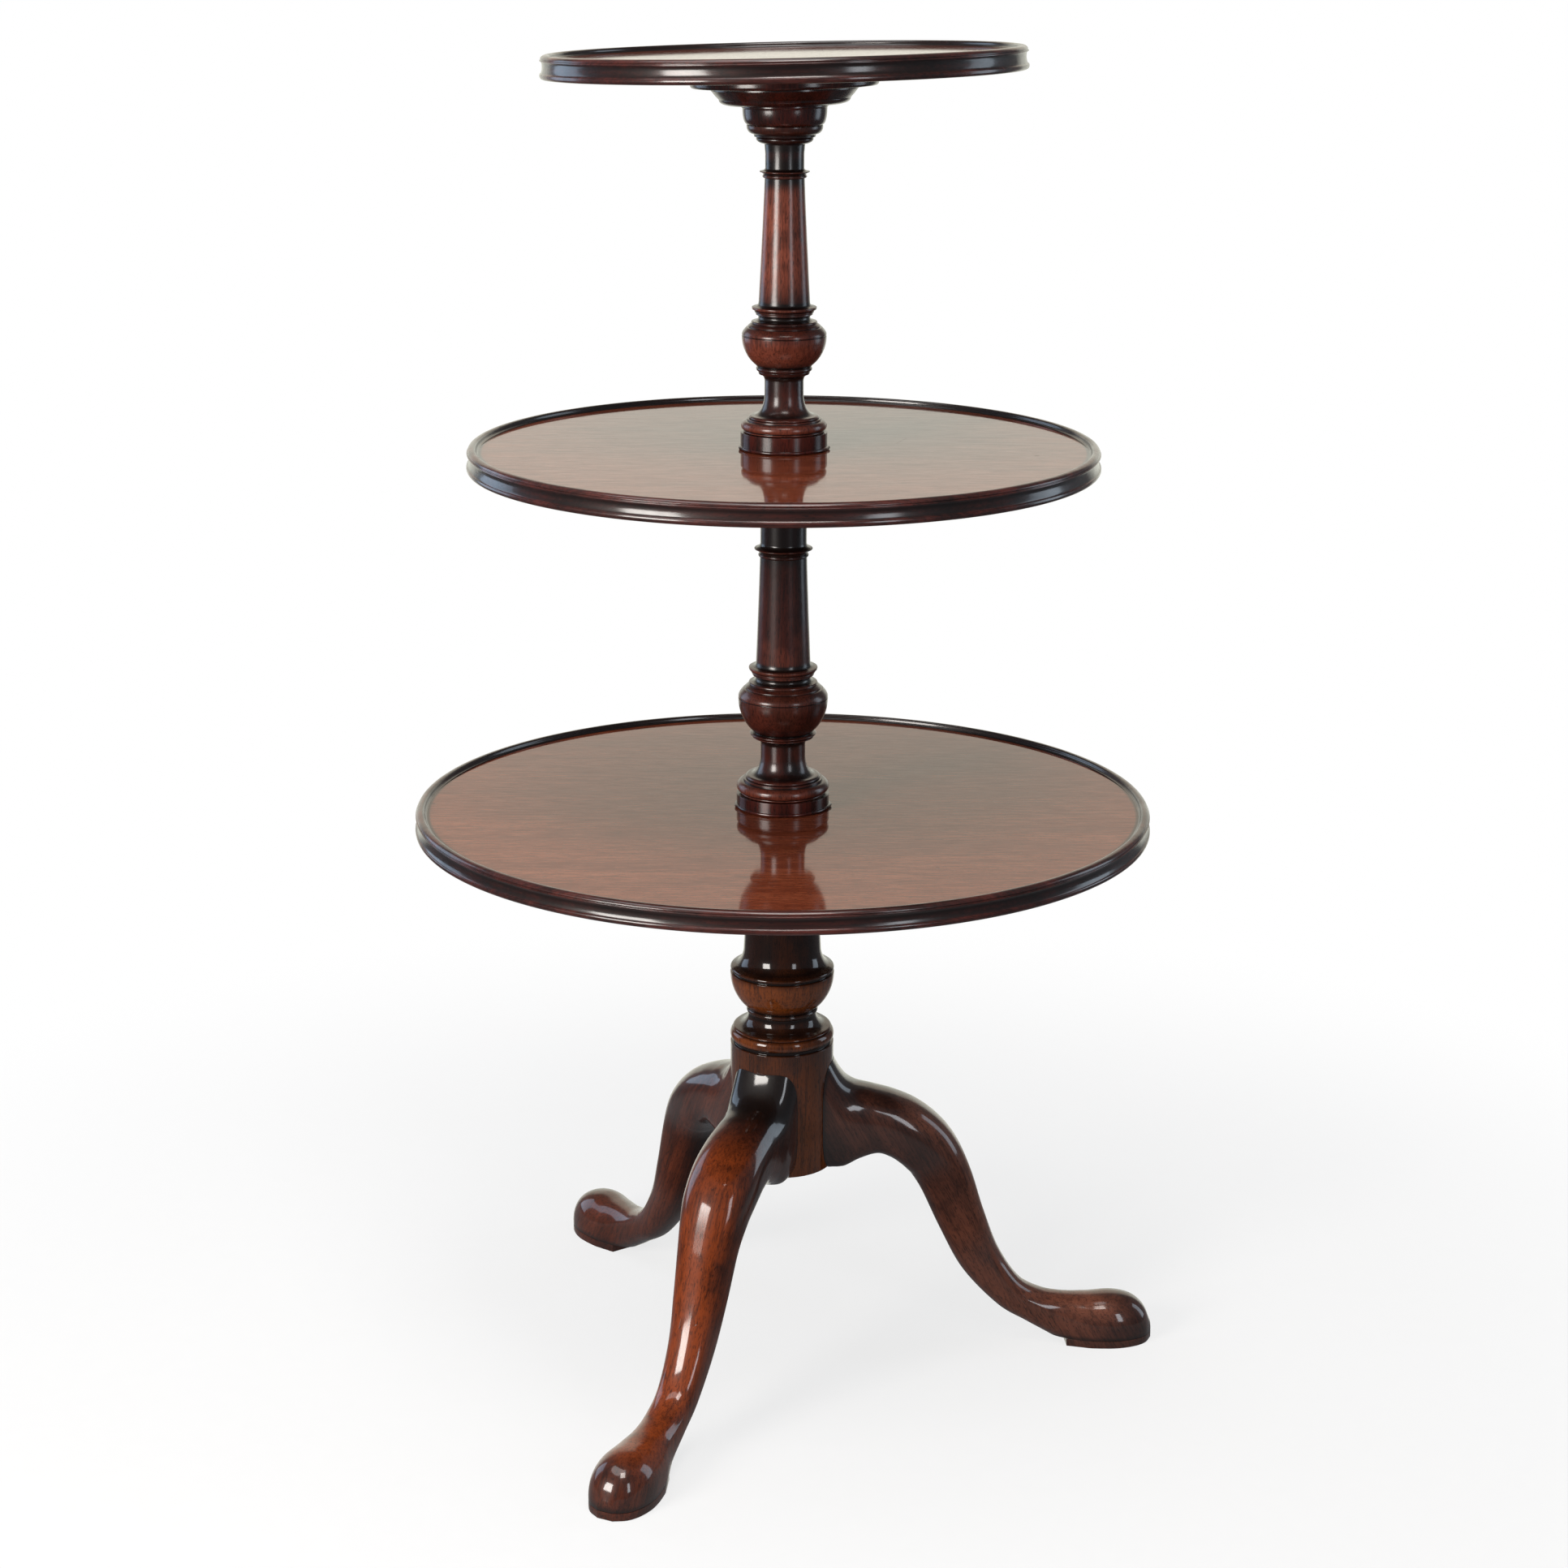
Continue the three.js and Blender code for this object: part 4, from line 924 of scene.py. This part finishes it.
crest_run, belly_run = [
    [Vector((row[at] * LEG_REACH, row[4] * LEG_HALF_WIDTH, row[at + 1] * PILLAR_FOOT))
     for row in LEG_SHARES] for at in (0, 2)]


def leg_point(angle, along):
    """A point of the leg's skin, and how far up its section it is, from -1 to 1."""
    crest, belly = run_point(crest_run, along), run_point(belly_run, along)
    blend = min(1, max(0, along) / ROOT_BLEND)
    rise, side = cos(angle), sin(angle)
    root = ROOT_CREST if rise > 0 else ROOT_BELLY
    power = (root + (ANKLE - root) * blend) * 2
    up = copysign(abs(rise) ** power, rise)
    across = copysign(abs(side) ** power, side)
    place = belly.lerp(crest, (1 + up) / 2)
    return Vector((place.x, place.y * across, place.z)), up


def root_along(angle):
    """Where a line of the leg's skin leaves the pillar."""
    low, high = ROOT_SEARCH
    for _ in range(ROOT_SEARCH_STEPS):
        middle = (low + high) / 2
        point, _ = leg_point(angle, middle)
        if hypot(point.x, point.y) < ROOT_RADIUS:
            low = middle
        else:
            high = middle
    return (low + high) / 2


def close_root(bm, ring):
    """The leg's hollow end against the pillar, built of arcs."""
    reach = ROOT_RADIUS * MM
    half = len(ring) // 2
    arcs = []
    for index in range(half):
        first, last = ring[index], ring[-1 - index]
        arc = [first]
        if 0 < index < half - 1:
            for step in range(1, ROOT_ARC_STEPS):
                y = first.co.y + (last.co.y - first.co.y) * step / ROOT_ARC_STEPS
                arc.append(bm.verts.new((sqrt(reach ** 2 - y ** 2), y, first.co.z)))
        arcs.append(arc + [last])
    for here, below in zip(arcs, arcs[1:]):
        if len(here) == len(below):
            for index in range(len(here) - 1):
                bm.faces.new((here[index], here[index + 1], below[index + 1], below[index]))
        else:
            bm.faces.new(here + below[::-1])


def leg_mesh(root_darkness):
    """A leg with a darker root crest, dark seam and foot bottom, painted shade under its belly, a rubbed
    crest, painted light on its lower part, dull places and a flat sole.
    """
    bm = bmesh.new()
    hollow, wear_and_light, dull = [bm.verts.layers.float.new(name) for name in ("hollow", "wear_and_light", "dull")]
    grid = []
    angles = [tau * (line + 0.5) / LEG_LINES for line in range(LEG_LINES)]
    starts = [root_along(angle) for angle in angles]
    for ring in range(LEG_RINGS + 1):
        row = []
        for angle, start in zip(angles, starts):
            along = start + (1 - start) * (ring / LEG_RINGS) ** 1.05
            point, up = leg_point(angle, along)
            if point.x < ROOT_REACH:
                point.z = max(point.z, PILLAR_FOOT)
            vertex = bm.verts.new(point * MM)
            from_pillar = hypot(point.x, point.y) - PILLAR_FLANGE
            # The crest is made darker where the leg leaves the pillar.
            root_darkening = smoothstep(point.x, 102, 56) * smoothstep(up, -0.1, 0.7) * root_darkness
            seam = smoothstep(from_pillar, 3.5, 0) * 0.35
            # Painted shade under the leg's belly.
            below = smoothstep(-up, 0.6, 1) * 0.22
            sole = smoothstep(point.z, 13, 8) * 0.3
            vertex[hollow] = max(root_darkening, seam, below, sole)
            crest_wear = smoothstep(up, 0.15, 0.85) * smoothstep(along, 0.19, 0.3)
            crest_wear *= 1 - smoothstep(along, 0.78, 0.9) * 0.8
            # Painted light: the middle and lower part of the leg is made lighter all round.
            flank_painted_light = smoothstep(along, 0.36, 0.5) * smoothstep(along, 0.85, 0.72) * 0.5
            vertex[wear_and_light] = max(crest_wear, flank_painted_light)
            vertex[dull] = smoothstep(along, 0.37, 0.43) * smoothstep(along, 0.55, 0.5) * 0.85
            row.append(vertex)
        grid.append(row)
    for ring in range(LEG_RINGS):
        for line in range(LEG_LINES):
            beside = (line + 1) % LEG_LINES
            bm.faces.new(
                (grid[ring][line], grid[ring + 1][line], grid[ring + 1][beside], grid[ring][beside]))
    bm.faces.new(grid[-1])
    close_root(bm, grid[0])
    everything = bm.verts[:] + bm.edges[:] + bm.faces[:]
    bmesh.ops.bisect_plane(
        bm, geom=everything, plane_co=(0, 0, (PAD + SEAT_GAP) * MM), plane_no=(0, 0, 1), clear_inner=True)
    bmesh.ops.holes_fill(bm, edges=[edge for edge in bm.edges if edge.is_boundary])
    return finished_mesh(bm, "leg")


def pad_plan():
    """The foot's outline at the pad's top, from the heel on one side to the toe."""
    side = [PAD_HEEL]
    for step in range(PAD_PLAN_STEPS + 1):
        along = step / PAD_PLAN_STEPS
        crest, belly = run_point(crest_run, along), run_point(belly_run, along)
        up = 2 * (PAD - belly.z) / (crest.z - belly.z) - 1
        place = belly.lerp(crest, (1 + up) / 2)
        if place.x > PAD_SIDE and abs(up) < 1:
            half = place.y * sqrt(1 - abs(up) ** (1 / ANKLE)) ** (ANKLE * 2)
            side.append((place.x, half))
    return side


def pad_mesh():
    """A thin pad under a foot, with rounded edges."""
    side = pad_plan()
    plan = [Vector((x, -y)) for x, y in side] + [Vector((x, y)) for x, y in reversed(side)]
    middle = Vector(((plan[0].x + side[-1][0]) / 2, 0))
    bm = bmesh.new()
    hollow, wear_and_light = [bm.verts.layers.float.new(name) for name in ("hollow", "wear_and_light")]
    rings = []
    for height, inset in PAD_RINGS:
        ring = []
        for point in plan:
            inward = (middle - point).normalized() * inset
            vertex = bm.verts.new(Vector((point.x + inward.x, point.y + inward.y, height)) * MM)
            vertex[hollow] = 0.3 if height in (0, PAD) else 0.12
            vertex[wear_and_light] = 0.2
            ring.append(vertex)
        rings.append(ring)
    count = len(plan)
    for lower, upper in zip(rings, rings[1:]):
        for index in range(count):
            beside = (index + 1) % count
            bm.faces.new((lower[index], lower[beside], upper[beside], upper[index]))
    bm.faces.new(rings[0][::-1])
    bm.faces.new(rings[-1])
    return finished_mesh(bm, "pad")


pad_shape = pad_mesh()
for index, angle in enumerate(LEG_ANGLES):
    turn = Matrix.Rotation(radians(angle), 4, "Z")
    for node, shape in ((f"leg_{index + 1}", leg_mesh(ROOT_DARKENING[index])),
                        (f"foot_pad_{index + 1}", pad_shape.copy())):
        dress(new_object("carved_" + node, shape), node, leg_finishes[index], slot="mahogany_leg",
              place=turn)


# Iron and leather pieces keep their CAD shapes

for node, piece in frame["nodes"].items():
    is_iron = "screw" in node or node in ("base_plate", "top_spindle")
    if is_iron or "washer" in node:
        for material_slot in piece.material_slots:
            material_slot.material = iron_finish if is_iron else leather_finish


# Camera, at the photograph's place

CAMERA_DISTANCE = 2.43
CAMERA_HEIGHT = 1.2235
CAMERA_BEARING = radians(9.9)
CAMERA_PITCH = radians(16.213)
CAMERA_ROLL = radians(0.184)
CAMERA_YAW = radians(0.023)
SENSOR = 36
FOCAL_PIXELS = 3742
FRAME_PIXELS = 1932
camera_data = bpy.data.cameras.new("camera")
camera_data.sensor_fit = "HORIZONTAL"
camera_data.sensor_width = SENSOR
camera_data.lens = FOCAL_PIXELS / FRAME_PIXELS * SENSOR
camera = new_object("camera", camera_data)
level = cos(CAMERA_PITCH)
forward = Vector((sin(CAMERA_YAW) * level, cos(CAMERA_YAW) * level, -sin(CAMERA_PITCH)))
right = Vector((cos(CAMERA_YAW), -sin(CAMERA_YAW), 0))
up = right.cross(forward)
rolled_right = right * cos(CAMERA_ROLL) + up * sin(CAMERA_ROLL)
rolled_up = up * cos(CAMERA_ROLL) - right * sin(CAMERA_ROLL)
look = Matrix((rolled_right, rolled_up, -forward)).transposed().to_4x4()
stand = Matrix.Translation((0, -CAMERA_DISTANCE, CAMERA_HEIGHT))
camera.matrix_world = Matrix.Rotation(CAMERA_BEARING, 4, "Z") @ stand @ look
bpy.context.scene.camera = camera


# Light: soft windows round the object, placed by their bearing to the right of the camera

WARM_WHITE = (1.0, 0.95, 0.9)
PLAIN_WHITE = (0.9, 0.94, 1.0)
COOL_WHITE = (0.74, 0.87, 1.0)
SKY_BLUE = (0.6, 0.78, 1.0)
WINDOW_AIM = Vector((0, 0, 0.65))


def lamp(name, shape, size, power, place, aim):
    """A soft lamp at a place, turned towards another."""
    data = bpy.data.lights.new(name, "AREA")
    data.shape = shape
    data.size = size
    data.energy = power
    light = new_object(name, data)
    light.location = place
    light.rotation_euler = (aim - light.location).to_track_quat("-Z", "Y").to_euler()
    return data


def window(name, bearing, distance, middle, width, height, power, colour):
    angle = CAMERA_BEARING - pi / 2 + radians(bearing)
    place = (distance * cos(angle), distance * sin(angle), middle)
    data = lamp(name, "RECTANGLE", width, power, place, WINDOW_AIM)
    data.size_y = height
    data.color = colour


window("window_left", -46, 2.8, 1.25, 1.0, 1.3, 76, WARM_WHITE)
window("window_right", 34, 3.0, 1.3, 0.5, 1.4, 14, PLAIN_WHITE)
window("window_high", 5, 1.4, 3.2, 1.0, 1.0, 34, WARM_WHITE)
window("window_side", 104, 2.8, 1.1, 0.9, 1.9, 13, COOL_WHITE)
window("window_back", -122, 2.8, 1.1, 1.3, 1.8, 14, SKY_BLUE)
lamp("overhead", "DISK", size=2.4, power=38, place=(-0.5, -0.3, 3.2), aim=Vector((0, 0, 0)))

# World: a white wall behind the object and a dimmer room in front of it

LOW_WALL = (1.0, 1.0, 0.88)
HIGH_WALL = (0.93, 0.84, 0.7)
ROOM = (0.1, 0.102, 0.11)
world = bpy.data.worlds.new("studio")
bpy.context.scene.world = world
studio = Shader(world)
direction = studio.node("TexCoord").outputs["Generated"]
behind = (-sin(CAMERA_BEARING), cos(CAMERA_BEARING), 0)
facing = studio.vector("DOT_PRODUCT", direction, behind)["Value"]
wall = studio.smooth(facing, low=0.78, high=0.93)
height = studio.node("SeparateXYZ", {0: direction}).outputs["Z"]
white = studio.mix(studio.smooth(height, low=0.17, high=0.27), LOW_WALL, HIGH_WALL)
room = studio.mix(wall, ROOM, white)
path = studio.node("LightPath").outputs
mirrored = studio.math("MAXIMUM", path["Is Glossy Ray"], path["Is Transmission Ray"])
colour = studio.mix(studio.times(mirrored, wall), room, white)
colour = studio.mix(path["Is Camera Ray"], colour, (1, 1, 1))
background = studio.node("Background", {"Color": colour, "Strength": 1.0})
studio.node("OutputWorld", {"Surface": background.outputs[0]})

# Floor: pale and thinly covered, so it keeps the shadow and fades into the white background

FLOOR_REACH = 1.7
FLOOR_SIDES = 96
FLOOR_LEVEL = -0.0002
FLOOR_GREYS = [(0.3, (0.78, 0.78, 0.78)), (0.7, (0.82, 0.82, 0.82))]
floor = Shader(bpy.data.materials.new("pale_floor"))
place = floor.node("TexCoord").outputs["Object"]
distance = floor.node("VectorMath", {0: place}, operation="LENGTH").outputs["Value"]
share = floor.smooth(distance, low=0.55, high=1.2, start=0.25, end=0)
shade = floor.ramp(floor.noise(place, scale=60, detail=4, roughness=0.6), FLOOR_GREYS)
matt = floor.node("BsdfDiffuse", {"Color": shade})
clear = floor.node("BsdfTransparent")
surface = floor.node("MixShader", {0: share, 1: clear.outputs[0], 2: matt.outputs[0]})
floor.node("OutputMaterial", {"Surface": surface.outputs[0]})
turns = [tau * side / FLOOR_SIDES for side in range(FLOOR_SIDES)]
rim = [(FLOOR_REACH * cos(turn), FLOOR_REACH * sin(turn), FLOOR_LEVEL) for turn in turns]
mesh = bpy.data.meshes.new("floor")
mesh.from_pydata(rim, [], [tuple(range(FLOOR_SIDES))])
mesh.materials.append(floor.owner)
new_object("floor", mesh)

bpy.context.scene.view_settings.view_transform = "Standard"
